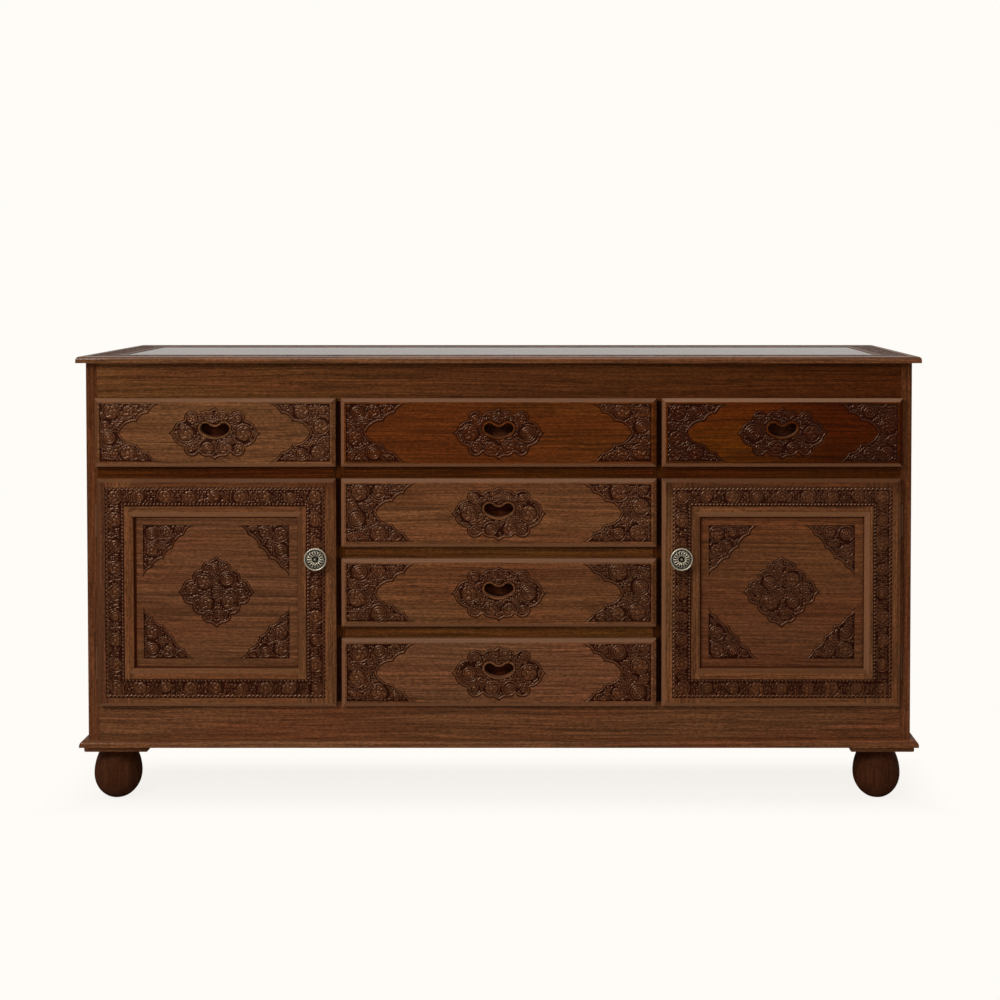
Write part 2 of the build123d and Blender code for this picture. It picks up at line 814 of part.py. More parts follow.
frame_leaves = []
hinge_pins = []
catches = []
for side, name in ((-1, "left"), (1, "right")):
    door_x = side * (side_front_in + door_out) / 2
    door_opening_x = door_x + side * (lock_stile_width - hinge_stile_width) / 2
    blank = door_frame_blank(door_x, door_opening_x)
    stile_z = (door_low, door_high)
    rail_x = side_range(side, side_front_in + lock_stile_width, door_out - hinge_stile_width)
    lock_x = side_range(side, side_front_in, side_front_in + lock_stile_width)
    hinge_x = side_range(side, door_out - hinge_stile_width, door_out)
    write(parted(blank, lock_x, stile_z), f"door_{name}_lock_stile")
    write(parted(blank, hinge_x, stile_z), f"door_{name}_hinge_stile")
    upper_rail = parted(blank, rail_x, (door_high - door_rail_width, door_high))
    lower_rail = parted(blank, rail_x, (door_low, door_low + door_rail_width))
    write_group([upper_rail, lower_rail], f"door_{name}_rails")
    write(door_panel(door_opening_x), f"door_{name}_panel")
    write(door_knob(side * knob_x), f"door_{name}_knob")

    hinges = [hinge(side, z) for z in hinge_z]
    frame_leaves += [frame_leaf for frame_leaf, door_leaf, pin in hinges]
    hinge_pins += [pin for frame_leaf, door_leaf, pin in hinges]
    write_group([door_leaf for frame_leaf, door_leaf, pin in hinges], f"door_{name}_hinge_leaves")

    strike_x = mullion_out + catch_width / 2 + front_lap
    strike_z = rail_z[-1][0] - catch_height / 2
    strike_x_range = side_range(side, strike_x - strike_width / 2, strike_x + strike_width / 2)
    strike_z_range = (strike_z - strike_height / 2, strike_z + strike_height / 2)
    strike_back_y = front_back_y + strike_thickness
    write(board(strike_x_range, (front_back_y, strike_back_y), strike_z_range), f"door_{name}_strike")
    catch_x = side_range(side, strike_x - catch_width / 2, strike_x + catch_width / 2)
    catch_y = strike_back_y + catch_gap
    catch_z = (rail_z[-1][0] - catch_height, rail_z[-1][0])
    catches.append(board(catch_x, (catch_y, catch_y + catch_depth), catch_z))

write_group(frame_leaves, "hinge_frame_leaves")
write_group(hinge_pins, "hinge_pins")
write_group(catches, "door_catches")
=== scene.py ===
# %% [markdown]
# # A carved sideboard in walnut
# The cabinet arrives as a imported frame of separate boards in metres: +X to the right, +Y to the back,
# +Z up. This lesson dresses it: light and floor, wood that follows the grain of every board, the
# carving that fills the shallow pockets in the fronts and the top, turned feet and rosette knobs.

# %% Load the frame
import math

import bpy
import numpy as np
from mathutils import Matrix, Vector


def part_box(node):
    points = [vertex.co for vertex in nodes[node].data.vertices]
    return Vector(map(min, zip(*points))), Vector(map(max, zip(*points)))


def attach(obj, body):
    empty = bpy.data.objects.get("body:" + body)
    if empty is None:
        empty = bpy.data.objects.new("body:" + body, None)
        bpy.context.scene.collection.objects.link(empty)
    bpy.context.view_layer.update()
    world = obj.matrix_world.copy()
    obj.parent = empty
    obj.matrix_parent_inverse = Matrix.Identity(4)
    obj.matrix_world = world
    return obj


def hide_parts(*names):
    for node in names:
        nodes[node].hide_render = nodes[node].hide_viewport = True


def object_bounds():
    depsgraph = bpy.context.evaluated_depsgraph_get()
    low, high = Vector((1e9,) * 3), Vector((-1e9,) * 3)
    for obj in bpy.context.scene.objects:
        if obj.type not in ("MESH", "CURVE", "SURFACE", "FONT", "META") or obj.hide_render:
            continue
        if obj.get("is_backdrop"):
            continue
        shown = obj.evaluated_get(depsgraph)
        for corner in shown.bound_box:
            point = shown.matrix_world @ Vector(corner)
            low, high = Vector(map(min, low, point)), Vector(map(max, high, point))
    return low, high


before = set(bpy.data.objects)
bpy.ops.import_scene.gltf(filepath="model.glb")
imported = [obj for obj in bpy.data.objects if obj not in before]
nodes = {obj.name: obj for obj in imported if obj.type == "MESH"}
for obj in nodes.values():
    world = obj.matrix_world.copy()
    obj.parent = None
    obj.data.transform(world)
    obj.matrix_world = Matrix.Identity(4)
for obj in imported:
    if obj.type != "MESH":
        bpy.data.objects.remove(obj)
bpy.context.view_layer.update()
MM = 0.001

# %% [markdown]
# ## Places read from the frame
# Every carved field lies where a pocket lies in a board, so its place is read from that board's box
# and never typed twice. `middle` gives a node's centre in millimetres and `span` its size.


# %% Places
def box_mm(name):
    """Lowest and highest corner of a node, in millimetres."""
    low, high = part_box(name)
    return np.array(low) / MM, np.array(high) / MM


def middle(name):
    """Half of the lowest plus the highest corner."""
    low, high = box_mm(name)
    return (low + high) / 2


def span(name):
    """The highest minus the lowest corner."""
    low, high = box_mm(name)
    return high - low


DRAWERS = ["top_left", "top_middle", "top_right", "upper_middle", "lower_middle", "bottom_middle"]
front_y = box_mm("drawer_top_left_front")[0][1]
print("front plane", round(front_y, 2), "drawer front", span("drawer_top_left_front").round(1))

# %% [markdown]
# ## Camera
# The picture is a straight product view: the camera looks almost level from a little above the top
# board, and the frame is shifted down so that the uprights stay nearly parallel.

# %% Camera
LENS_MM, SENSOR_MM, PITCH_DEGREES = 56.02, 36, 1.501


def add_object(name, data):
    """A new object that holds the data, at the origin of the scene."""
    made = bpy.data.objects.new(name, data)
    bpy.context.scene.collection.objects.link(made)
    return made


camera_data = bpy.data.cameras.new("camera")
camera_data.sensor_width, camera_data.lens = SENSOR_MM, LENS_MM
camera_data.shift_x, camera_data.shift_y = -0.0627, -0.19
camera = add_object("camera", camera_data)
camera.location = (0.1273, -3.3127, 1.074)
camera.rotation_euler = (math.radians(90 - PITCH_DEGREES), 0, 0)
bpy.context.scene.camera = camera
bpy.context.scene.view_settings.view_transform = "Standard"
print("camera at", tuple(round(v, 3) for v in camera.location))

# %% [markdown]
# ## One helper for shader nodes, one for colours
# A material is a small graph. `add` places a node, sets its plain settings and fills its sockets with
# values or with links. `linear` turns a colour that a painter would pick by eye into light.


# %% Shader helpers
def add(tree, kind, sockets=None, **settings):
    """Add one shader node; a socket given another node's output is linked, any other value is set."""
    made = tree.nodes.new("ShaderNode" + kind)
    for name, value in settings.items():
        setattr(made, name, value)
    for key, value in (sockets or {}).items():
        if isinstance(value, bpy.types.NodeSocket):
            tree.links.new(value, made.inputs[key])
        else:
            made.inputs[key].default_value = value
    return made


def linear(colour):
    """sRGB hex to linear: c / 12.92 below 0.04045, otherwise ((c + 0.055) / 1.055) to the power 2.4."""
    part = np.array([int(colour[i:i + 2], 16) / 255 for i in (1, 3, 5)])
    light = np.where(part <= 0.04045, part / 12.92, ((part + 0.055) / 1.055) ** 2.4)
    return (*light.tolist(), 1.0)


def new_material(name):
    """An empty material and its node tree."""
    made = bpy.data.materials.new(name)
    made.use_nodes = True
    made.node_tree.nodes.clear()
    return made, made.node_tree


def remap(tree, value, low, high, to_low=0.0, to_high=1.0):
    """Straight line from (low, to_low) to (high, to_high), held at both ends."""
    return add(tree, "MapRange", {"Value": value, "From Min": low, "From Max": high, "To Min": to_low,
                                  "To Max": to_high}).outputs["Result"]


def multiply(tree, colour, by):
    """One colour times another, or times a number."""
    return add(tree, "Mix", {"Factor": 1.0, "A": colour, "B": by}, data_type="RGBA",
               blend_type="MULTIPLY").outputs["Result"]


def mix(tree, share, first, second):
    """first + (second - first) * share, for colours."""
    return add(tree, "Mix", {"Factor": share, "A": first, "B": second}, data_type="RGBA").outputs["Result"]


def ramp(tree, factor, stops):
    """A colour ramp; stops are (place, sRGB hex)."""
    made = add(tree, "ValToRGB", {"Fac": factor})
    elements = made.color_ramp.elements
    while len(elements) < len(stops):
        elements.new(0.5)
    for element, (place, colour) in zip(elements, stops):
        element.position = place
        element.color = linear(colour)
    return made.outputs["Color"]


print("helpers ready, mid grey is", round(linear("#808080")[0], 3))

# %% [markdown]
# ## Walnut under a satin lacquer
# Flat-sawn walnut shows three things along its grain: broad bands of early and late wood, a few
# millimetres to a few centimetres wide; thin dark lines where a growth ring ends; and fine pores,
# short dark dashes. All are stretched far along the grain and bent by a slow drift. The lacquer
# leaves a soft sheen, so the coat is thin and the wood below it only half rough.
# Grain could be painted, or wrapped from a picture. Here it is computed from places on the object, in
# metres, so each board has true-sized grain and no seam, and boards cut from one log still differ.
# Two slower changes can lie over the grain: a drift of colour along a board, and other colours on the
# bevels that face up, down or left. The bevel colours are painted light and shade that these soft lamps
# don't give. Some drifts are painted light and shade as well, and others only change the tone along a
# board. All of them stay where they are if a lamp moves.


# %% Walnut
GLAZE, CARVED_TINT, SHEEN_TINT = "#260702", (0.97, 0.91, 0.90, 1), (1, 0.62, 0.40, 1)


def walnut(name, tones, along="X", shift=(0, 0, 0), rough=0.5, coat=0.1, coat_rough=0.12,
           band_mm=11.0, line_strength=0.34, worn=None, drift=None, carved=False):
    """Walnut: tones are dark, middle, light and red; along is the grain's axis; band_mm is the width of its
    bands; each layer of lines darkens by line_strength at most; carved wood has a dark glaze in its hollows.

    drift is an axis, two places on it in metres and the colour factor at each; between them the factor is
    first + (last - first) * (place - start) / (end - start). With an origin and a pitch behind them, the
    place is the distance to the nearest origin + n * pitch. The edge colours are painted light and shade
    on edges that face up, down and left; an edge takes 0.7 of its colour once its normal leans 0.4 that way.
    """
    material, tree = new_material(name)
    place = add(tree, "TexCoord").outputs["Object"]
    turn = {"X": (0, 0, 0), "Y": (0, 0, math.radians(90)), "Z": (0, math.radians(90), 0)}[along]
    board = add(tree, "Mapping", {"Vector": place, "Location": shift, "Rotation": turn}).outputs["Vector"]
    slow = add(tree, "Mapping", {"Vector": board, "Scale": (2.0, 8, 8)}).outputs["Vector"]
    sway = add(tree, "TexNoise", {"Vector": slow, "Scale": 1.0, "Detail": 2.0, "Roughness": 0.5})
    push = add(tree, "VectorMath", {0: sway.outputs["Color"], 1: (0.5, 0.5, 0.5)}, operation="SUBTRACT")
    bend = add(tree, "VectorMath", {0: push.outputs["Vector"], "Scale": 0.022}, operation="SCALE")
    bent = add(tree, "VectorMath", {0: board, 1: bend.outputs["Vector"]}, operation="ADD").outputs["Vector"]

    def streaks(long, across, detail):
        """Noise stretched along the grain: features per metre along and across."""
        at = add(tree, "Mapping", {"Vector": bent, "Scale": (long, across, across)}).outputs["Vector"]
        return add(tree, "TexNoise", {"Vector": at, "Scale": 1.0, "Detail": detail, "Roughness": 0.55}).outputs["Fac"]

    def shade(colour, factor, low, high, dark, bright):
        """Multiply a colour by a range of brightness as factor goes from low to high."""
        return multiply(tree, colour, remap(tree, factor, low, high, dark, bright))

    dark, middle_tone, light, red = tones
    base = ramp(tree, streaks(0.8, 1000 / band_mm, 2.0), [(0.28, dark), (0.50, middle_tone), (0.72, light)])
    base = mix(tree, remap(tree, streaks(2.4, 14, 1.0), 0.40, 0.62), base, linear(red))
    base = shade(base, streaks(1.4, 110, 2.0), 0.32, 0.68, 0.86, 1.12)
    base = shade(base, streaks(1.8, 270, 2.0), 0.34, 0.62, 1 - line_strength, 1.14)
    base = shade(base, streaks(6.0, 520, 1.0), 0.34, 0.66, 1 - line_strength, 1.14)
    base = shade(base, streaks(140, 400, 1.0), 0.32, 0.68, 1 - line_strength, 1.18)
    pore = streaks(60, 900, 1.0)
    base = shade(base, pore, 0.33, 0.42, 0.70, 1.0)
    if drift:
        axis, start, end, first, last, *repeat = drift
        place = add(tree, "SeparateXYZ", {"Vector": add(tree, "TexCoord").outputs["Object"]}).outputs[axis]
        if repeat:
            past = add(tree, "Math", {0: place, 1: repeat[0]}, operation="SUBTRACT").outputs["Value"]
            place = add(tree, "Math", {0: past, 1: repeat[1] / 2}, operation="PINGPONG").outputs["Value"]
        base = multiply(tree, base, mix(tree, remap(tree, place, start, end), (*first, 1), (*last, 1)))
    if worn:
        across, _, upright = add(tree, "SeparateXYZ", {"Vector": add(tree, "TexCoord").outputs["Normal"]}).outputs
        for facing, slope, colour in ((upright, 0.40, worn[0]), (upright, -0.40, worn[1]), (across, -0.40, worn[2])):
            base = mix(tree, remap(tree, facing, slope / 8, slope, to_high=0.7), base, linear(colour))
    gloss = 0.08
    if carved:
        gloss, rough = 0.45, 0.30
        height = add(tree, "Attribute", attribute_name="relief").outputs["Fac"]
        base = mix(tree, remap(tree, height, 0.14, 1.05), linear(GLAZE), base)
        base = multiply(tree, base, CARVED_TINT)
        coat = 0.0
    bump = add(tree, "Bump", {"Height": pore, "Strength": 0.12, "Distance": 0.0004})
    surface = add(tree, "BsdfPrincipled", {"Base Color": base, "Roughness": rough, "Specular IOR Level": gloss,
                                           "Specular Tint": SHEEN_TINT, "Coat Weight": coat,
                                           "Coat Roughness": coat_rough, "Normal": bump.outputs["Normal"]})
    add(tree, "OutputMaterial", {"Surface": surface.outputs["BSDF"]})
    return material


BROWN = ("#623b22", "#6e4629", "#764b2d", "#6f4226")
PANEL = ("#583620", "#653e25", "#6b432a", "#653b23")
RED_BROWN = ("#522709", "#5c2e0d", "#62330e", "#5d2b0c")
DEEP_RED = ("#3c1601", "#451901", "#4b1c01", "#461701")
FRIEZE = ("#4a260b", "#542c0d", "#5b310f", "#552a0d")
BASE = ("#5f3a21", "#6c4328", "#74482c", "#6d3f25")
RAIL = ("#3c1702", "#451c02", "#4a2003", "#461902")
FOOT = ("#381c0d", "#402212", "#482617", "#402010")
# MULLION is dark for painted shade in the gaps between the fronts.
MULLION = ("#220a01", "#2c0f01", "#331203", "#2e1001")
POST = ("#563018", "#61381d", "#683c20", "#62351a")
print("walnut tones", BROWN)

# %% [markdown]
# ## Wood for every board
# A joiner lays the grain along each board: rails and drawer fronts lie across, stiles and posts stand
# upright, the ends of the top run front to back. Each group gets its own cut from the log through a
# shift of the pattern, so no two neighbours repeat. Drifts and edge colours are named for the boards
# that have their own. The top right drawer and the frieze are painted lighter at their left ends, the
# top right drawer darker and redder to the right: painted light. The doors are darker along their tops,
# and the mullions dark between the fronts and paler where a rail meets them: painted shade.


# %% Dress the boards
def dress(material, *names):
    """Give a CAD node the better material in each of its slots."""
    for name in names:
        for slot in nodes[name].material_slots:
            slot.material = material


def cut(number):
    """A shift of the grain, in metres, different for every board number."""
    return (0.37 * number, 0.113 * number, 0.071 * number)


def lay(name, tones, number, *boards, **look):
    """Cut wood from place number in the log and dress boards in it."""
    dress(walnut(name, tones, shift=cut(number), **look), *boards)


# Edge colours (up, down, left) are painted light and shade: a painted highlight on upward bevels, shaded on the
# doors' tops; painted light on downward bevels; on left-facing bevels a lit tone, shaded on the leftmost fronts.
EDGES = {"top_left": ("#6c4b35", "#7e553a", "#4e2f1b"), "top_right": ("#84624a", "#7e553a", "#744e37"),
         "left": ("#56351f", "#7e553a", "#4e2f1b"), "right": ("#56351f", "#7e553a", "#744e37")}
OTHER_EDGES = ("#6c4b35", "#7e553a", "#744e37")
# Painted shade: the door rails and stiles darken above 0.64 m, along the doors' tops.
DOOR_TOP_SHADE = {"left": ("Z", 0.615, 0.64, (1, 1, 1), (0.66, 0.57, 0.55)),
          "right": ("Z", 0.615, 0.64, (1, 1, 1), (0.62, 0.54, 0.52))}
# The top right drawer's drift is painted light: lighter at its left end, darker and redder to the right.
DRIFTS = {"top_right": ("X", 0.46, 0.66, (1.75, 2.4, 4.5), (1.0, 0.92, 0.6)),
          "lower_middle": ("X", -0.2, 0.1, (0.96, 0.97, 0.96), (0.90, 0.83, 0.82)),
          "bottom_middle": ("X", -0.2, 0.1, (0.97, 0.95, 1.06), (1.05, 1.09, 1.25)),
          "right": ("Z", 0.3, 0.6, (0.88, 0.82, 0.82), (1.0, 0.93, 0.78))}
fronts = {}
for number, drawer in enumerate(DRAWERS):
    tones = {"top_middle": RED_BROWN, "top_right": DEEP_RED}.get(drawer, BROWN)
    fronts[drawer] = (tones, cut(number + 1))
    lay(f"walnut_front_{drawer}", tones, number + 1, f"drawer_{drawer}_front",
        worn=EDGES.get(drawer, OTHER_EDGES), drift=DRIFTS.get(drawer))

for number, side in enumerate(("left", "right")):
    lay(f"walnut_rail_{side}", BROWN, number + 11, f"door_{side}_rails", worn=EDGES[side], drift=DOOR_TOP_SHADE[side])
    lay(f"walnut_panel_{side}", PANEL, number + 13, f"door_{side}_panel", band_mm=14, line_strength=0.30,
        drift=DRIFTS.get(side))
    lay(f"walnut_stile_{side}", BROWN, number + 15, f"door_{side}_hinge_stile", f"door_{side}_lock_stile",
        along="Z", worn=EDGES[side], drift=DOOR_TOP_SHADE[side])
lay("walnut_outer_stile", BROWN, 38, "door_left_hinge_stile", along="Z", worn=EDGES["left"],
    drift=("X", -0.785, -0.765, (0.66, 0.6, 0.72), (1, 1, 1)))

# Painted light: the frieze is lighter at its left end and darker and redder to the right.
lay("walnut_frieze", FRIEZE, 21, "frieze_rail", band_mm=14,
    drift=("X", -0.8, 0.8, (1.5, 1.95, 3.5), (0.76, 0.63, 0.55)))
lay("walnut_base", BASE, 22, "bottom_rail", band_mm=12)
lay("walnut_cross_rail", RAIL, 23, "front_rails", drift=("Z", 0.54, 0.64, (1.95, 3.5, 12), (1.22, 1.45, 2.0)))
lay("walnut_moulding", BASE, 35, "base_moulding", "foot_blocks")
lay("walnut_post", POST, 24, "post_front_left", "post_front_right", "post_back_left", "post_back_right", along="Z",
    drift=("Z", 0.2, 0.8, (1.12, 1.2, 1.5), (0.91, 0.85, 0.85)))
# Painted shade: the mullions are dark between the fronts and lighter where a rail crosses them.
row_pitch = middle("drawer_upper_middle_front")[2] - middle("drawer_lower_middle_front")[2]
crossing_z = middle("drawer_upper_middle_front")[2] - row_pitch / 2
lay("walnut_mullion", MULLION, 37, "front_mullions", along="Z",
    drift=("Z", 0.010, 0.014, (2.3, 2.9, 3.2), (1, 1, 1), crossing_z * MM, row_pitch * MM))
lay("walnut_side_rail", FRIEZE, 25, "side_rails", along="Y")
lay("walnut_side_panel", FRIEZE, 26, "side_panels", along="Z", band_mm=14)
lay("walnut_back", FRIEZE, 27, "back_frame")
lay("walnut_top", BROWN, 28, "top_panel", coat=0.9, coat_rough=0.06)
lay("walnut_top_long", BROWN, 29, "top_frame_front", "top_frame_back", coat=0.8)
lay("walnut_top_end", BROWN, 30, "top_frame_left", "top_frame_right", along="Y", coat=0.25)

OILED = ("#7a5636", "#94704a", "#a98560", "#8f6540")
lay("mango_inside", OILED, 31, "shelves", "bottom_board", coat=0.0, rough=0.6)
lay("walnut_drawer_box", ("#2c130a", "#45200f", "#5b2f19", "#4d2110"), 34,
    *[f"drawer_{drawer}_box" for drawer in DRAWERS], coat=0.0, rough=0.6)
lay("mango_runner", OILED, 32, "drawer_runners", "partition_left", "partition_right", along="Y", coat=0.0,
    rough=0.6)
lay("birch_plywood", ("#a07850", "#b08a60", "#bb9870", "#aa835a"), 33, "back_panels",
    *[f"drawer_{drawer}_bottom" for drawer in DRAWERS], coat=0.0, rough=0.65, line_strength=0.10)
print("wood on", sum(1 for n in nodes.values() if n.material_slots), "nodes")


# %% [markdown]
# ## Metal and plastic
# Hinges are bronze gone brown, so they hardly show between door and post; the catches are brown plastic.


# %% Metal and plastic
def plain(name, colour, metallic, rough, gloss=0.5):
    """A material of one colour; metallic is 1 for metal."""
    material, tree = new_material(name)
    surface = add(tree, "BsdfPrincipled", {"Base Color": linear(colour), "Metallic": metallic, "Roughness": rough,
                                           "Specular IOR Level": gloss})
    add(tree, "OutputMaterial", {"Surface": surface.outputs["BSDF"]})
    return material


dress(plain("browned_bronze", "#6b4630", 0.3, 0.5, gloss=0.1), "hinge_frame_leaves", "hinge_pins",
      "door_left_hinge_leaves", "door_right_hinge_leaves")
dress(plain("zinc_plated_steel", "#9a9ca0", 1.0, 0.35), "door_left_strike", "door_right_strike")
dress(plain("brown_nylon", "#3a2a20", 0.0, 0.5), "door_catches")
print("metal on", [n for n in nodes if "hinge_leaves" in n or "strike" in n])

# %% [markdown]
# ## Outlines of the carved fields
# The pockets for the carving are already cut in the boards. Their outlines are drawn again here from
# the same few proportions: arcs through three points, lobes round a rectangle, and hollow-sided tips.
# `inside_depth` then tells for any place how deep it lies inside an outline, which is all that the
# carving needs to know about its field.


# %% Outlines
def arc(start, way, end, count=9):
    """Points from start towards end on the circle through start, way and end."""
    a, b, c = complex(*start), complex(*way), complex(*end)
    ratio = (c - a) / (b - a)
    centre = a + (b - a) * (ratio - abs(ratio) ** 2) / (ratio - ratio.conjugate())
    sweep = np.angle((b - centre) / (a - centre)) + np.angle((c - centre) / (b - centre))
    points = centre + (a - centre) * np.exp(1j * sweep * np.arange(count) / count)
    return np.stack([points.real, points.imag], axis=1)


def inside_depth(u, v, outline):
    """Distance to a closed outline, positive inside: the least distance to its straight pieces, with
    the sign from how many pieces a ray to the right crosses."""
    nearest = np.full(u.shape, np.inf)
    inside = np.zeros(u.shape, bool)
    for (u0, v0), (u1, v1) in zip(outline, np.roll(outline, -1, axis=0)):
        du, dv = u1 - u0, v1 - v0
        along = np.clip(((u - u0) * du + (v - v0) * dv) / (du * du + dv * dv), 0, 1)
        nearest = np.minimum(nearest, np.hypot(u - u0 - along * du, v - v0 - along * dv))
        if dv:
            inside ^= ((v0 > v) != (v1 > v)) & (u < u0 + (v - v0) * du / dv)
    return np.where(inside, nearest, -nearest)


def scalloped(points, scallops):
    """Hollow arcs from point to point; each bulges by its chord times its scallop, to the left."""
    arcs = []
    for (u0, v0), (u1, v1), scallop in zip(points, points[1:], scallops):
        way = ((u0 + u1) / 2 - (v1 - v0) * scallop, (v0 + v1) / 2 + (u1 - u0) * scallop)
        arcs.append(arc((u0, v0), way, (u1, v1)))
    return np.concatenate([*arcs, [points[-1]]])


def kidney(grow):
    """A bean: two round lobes, one long arc under them and a shallow sag between them."""
    half, lobe_x, dip, lobe_radius = 14.5, 18.5, 7.5, 11.0
    lobe, lobe_y, drop = lobe_radius + grow, half - lobe_radius, 2 * (half - lobe_radius)
    to_sag, to_base = (lobe_x**2 + dip**2) / (2 * dip), (lobe_x**2 + drop**2) / (2 * drop)
    sag = (lobe_x - lobe * lobe_x / to_sag, lobe_y + lobe * (to_sag - dip) / to_sag)
    low = (lobe_x + lobe * lobe_x / to_base, lobe_y - lobe * (to_base - drop) / to_base)
    shoulder = (lobe_x + lobe * 0.5**0.5, lobe_y + lobe * 0.5**0.5)
    return np.concatenate([
        arc((-sag[0], sag[1]), (0, half + grow - dip), sag), arc(sag, shoulder, low),
        arc(low, (0, -half - grow), (-low[0], low[1])),
        arc((-low[0], low[1]), (-shoulder[0], shoulder[1]), (-sag[0], sag[1]))])


def medallion(half_u, half_v, lobes, block, top_tip, side_tip, count=240):
    """The last radius, for every direction from the middle, that lies in a lobe, the block or a tip."""
    angle = np.arange(count) * 2 * np.pi / count
    radius = np.linspace(0, max(half_u, half_v), 480)[:, None]
    u, v = np.abs(radius * np.cos(angle)), np.abs(radius * np.sin(angle))
    inside = (u < block[0] * half_u) & (v < block[1] * half_v)
    for share_u, share_v, share_radius in lobes:
        inside |= np.hypot(u - share_u * half_u, v - share_v * half_v) < share_radius * half_v
    base, width = top_tip[0] * half_v, top_tip[1] * half_u
    right = arc((0, half_v), (width / 3, (base + half_v) / 2), (width, base))
    inside |= inside_depth(u, v, np.array([*right, (width, base), (-1, base), (-1, half_v)])) > 0
    base, width = side_tip[0] * half_u, side_tip[1] * half_v
    above = arc((half_u, 0), ((base + half_u) / 2, width / 3), (base, width))
    inside |= inside_depth(u, v, np.array([*above, (base, width), (base, -1), (half_u, -1)])) > 0
    last = radius[::-1][np.argmax(inside[::-1], axis=0), 0]
    return np.stack([last * np.cos(angle), last * np.sin(angle)], axis=1)


def drawer_medallion(half_u, half_v):
    """A long medallion: a broad lobe at each end, small corner lobes, paired lobes above and below."""
    lobes = [(0.625, 0, 0.515), (0.49, 0.57, 0.295), (0.18, 0.57, 0.305)]
    return medallion(half_u, half_v, lobes, (0.6, 0.5), (0.86, 0.14), (0.865, 0.25))


door_medallion = medallion(
    77, 73, [(0.18, 0.64, 0.225), (0.40, 0.39, 0.245), (0.67, 0.13, 0.225)], (0.45, 0.45), (0.84, 0.23), (0.85, 0.22))
print("medallion outlines", drawer_medallion(92, 53.5).shape, door_medallion.shape)

# %% [markdown]
# ## Motifs
# A carver works a field in a fixed order: a raised thread along its edge, the flower discs, the
# scrolls that wrap them, and last the small leaves and beads that fill what is left, over a ground
# punched full of dots. Each motif is a height over its own centre, stamped into the grid wherever it
# stands higher than what is there. Heights are millimetres below the board's face.


# %% Motifs
GROUND, BED, SLAB_FLOOR, THREAD_INSET, THREAD_ROOM = -2.1, -2.4, -3.2, 3.2, 5.4


def ground(u, v):
    """Punched dots: two waves about 3 mm long, multiplied and bent by slower ones."""
    return GROUND + 0.55 * np.sin(2.1 * u + 1.7 * np.sin(0.9 * v)) * np.sin(2.3 * v + 1.5 * np.sin(0.8 * u))


def thread(edge):
    """A round thread 3.2 mm from the edge: minus the square of the distance to its middle."""
    bed = np.where(edge < THREAD_INSET, -1.9, BED)
    return np.maximum(bed, -0.05 - ((edge - THREAD_INSET) / 1.35) ** 2)


def flower(radius, turn, petals):
    """A domed disc cut by bent petal lines round a boss, in a dark ring inside a broken scroll."""
    def shape(du, dv):
        out = np.hypot(du, dv) / radius
        angle = np.arctan2(dv, du) + turn
        petal = np.abs(np.sin(petals / 2 * (angle + 1.1 * out))) * 2 / petals * out * radius
        cuts = np.exp(-(petal / 1.0) ** 2) * (out > 0.36) + np.exp(-((out - 0.36) * radius / 0.9) ** 2)
        disc = -0.2 - 0.7 * out**2 - 1.3 * np.minimum(cuts, 1)
        share = (angle / (2 * np.pi)) % 1
        scroll = -0.4 - ((out - 1.17 - 0.10 * share) * radius / 1.1) ** 2
        return np.where(out < 1, disc, np.where(share < 0.72, scroll, -9))
    return shape


def volute(radius, turn, hand):
    """A disc cut by one line that winds in from the rim, in a dark ring inside a broken scroll."""
    def shape(du, dv):
        out = np.hypot(du, dv) / radius
        angle = hand * np.arctan2(dv, du) + turn
        share = (angle / (2 * np.pi)) % 1
        turns = out * radius / 4.6 - share
        line = np.abs(turns - np.round(turns)) * 4.6
        disc = -0.25 - 0.6 * out**2 - 1.4 * np.exp(-(line / 1.0) ** 2) * (out > 0.15)
        scroll = -0.4 - ((out - 1.17 - 0.10 * share) * radius / 1.1) ** 2
        return np.where(out < 1, disc, np.where(share < 0.66, scroll, -9))
    return shape


def bead(radius):
    """A round bead."""
    return lambda du, dv: -0.35 - 1.9 * (du**2 + dv**2) / radius**2


def leaf(length, width, turn):
    """A pointed leaf with a vein: across it a parabola whose width shrinks to both ends."""
    def shape(du, dv):
        along = (du * math.cos(turn) + dv * math.sin(turn)) / length
        across = dv * math.cos(turn) - du * math.sin(turn) + 0.9 * along
        half = width / 2 * np.sqrt(np.clip(1 - 4 * along**2, 1e-4, 1)) * (1 - 0.5 * along)
        vein = 0.5 * np.exp(-(across / 0.45) ** 2)
        return -0.35 - 1.3 * (across / half) ** 2 - vein
    return shape


def stamp(height, u, v, centre, reach, shape):
    """Raise the grid near a centre to a shape."""
    columns = slice(*np.searchsorted(u, (centre[0] - reach, centre[0] + reach)))
    rows = slice(*np.searchsorted(v, (centre[1] - reach, centre[1] + reach)))
    du, dv = np.meshgrid(u[columns] - centre[0], v[rows] - centre[1])
    height[rows, columns] = np.maximum(height[rows, columns], shape(du, dv))


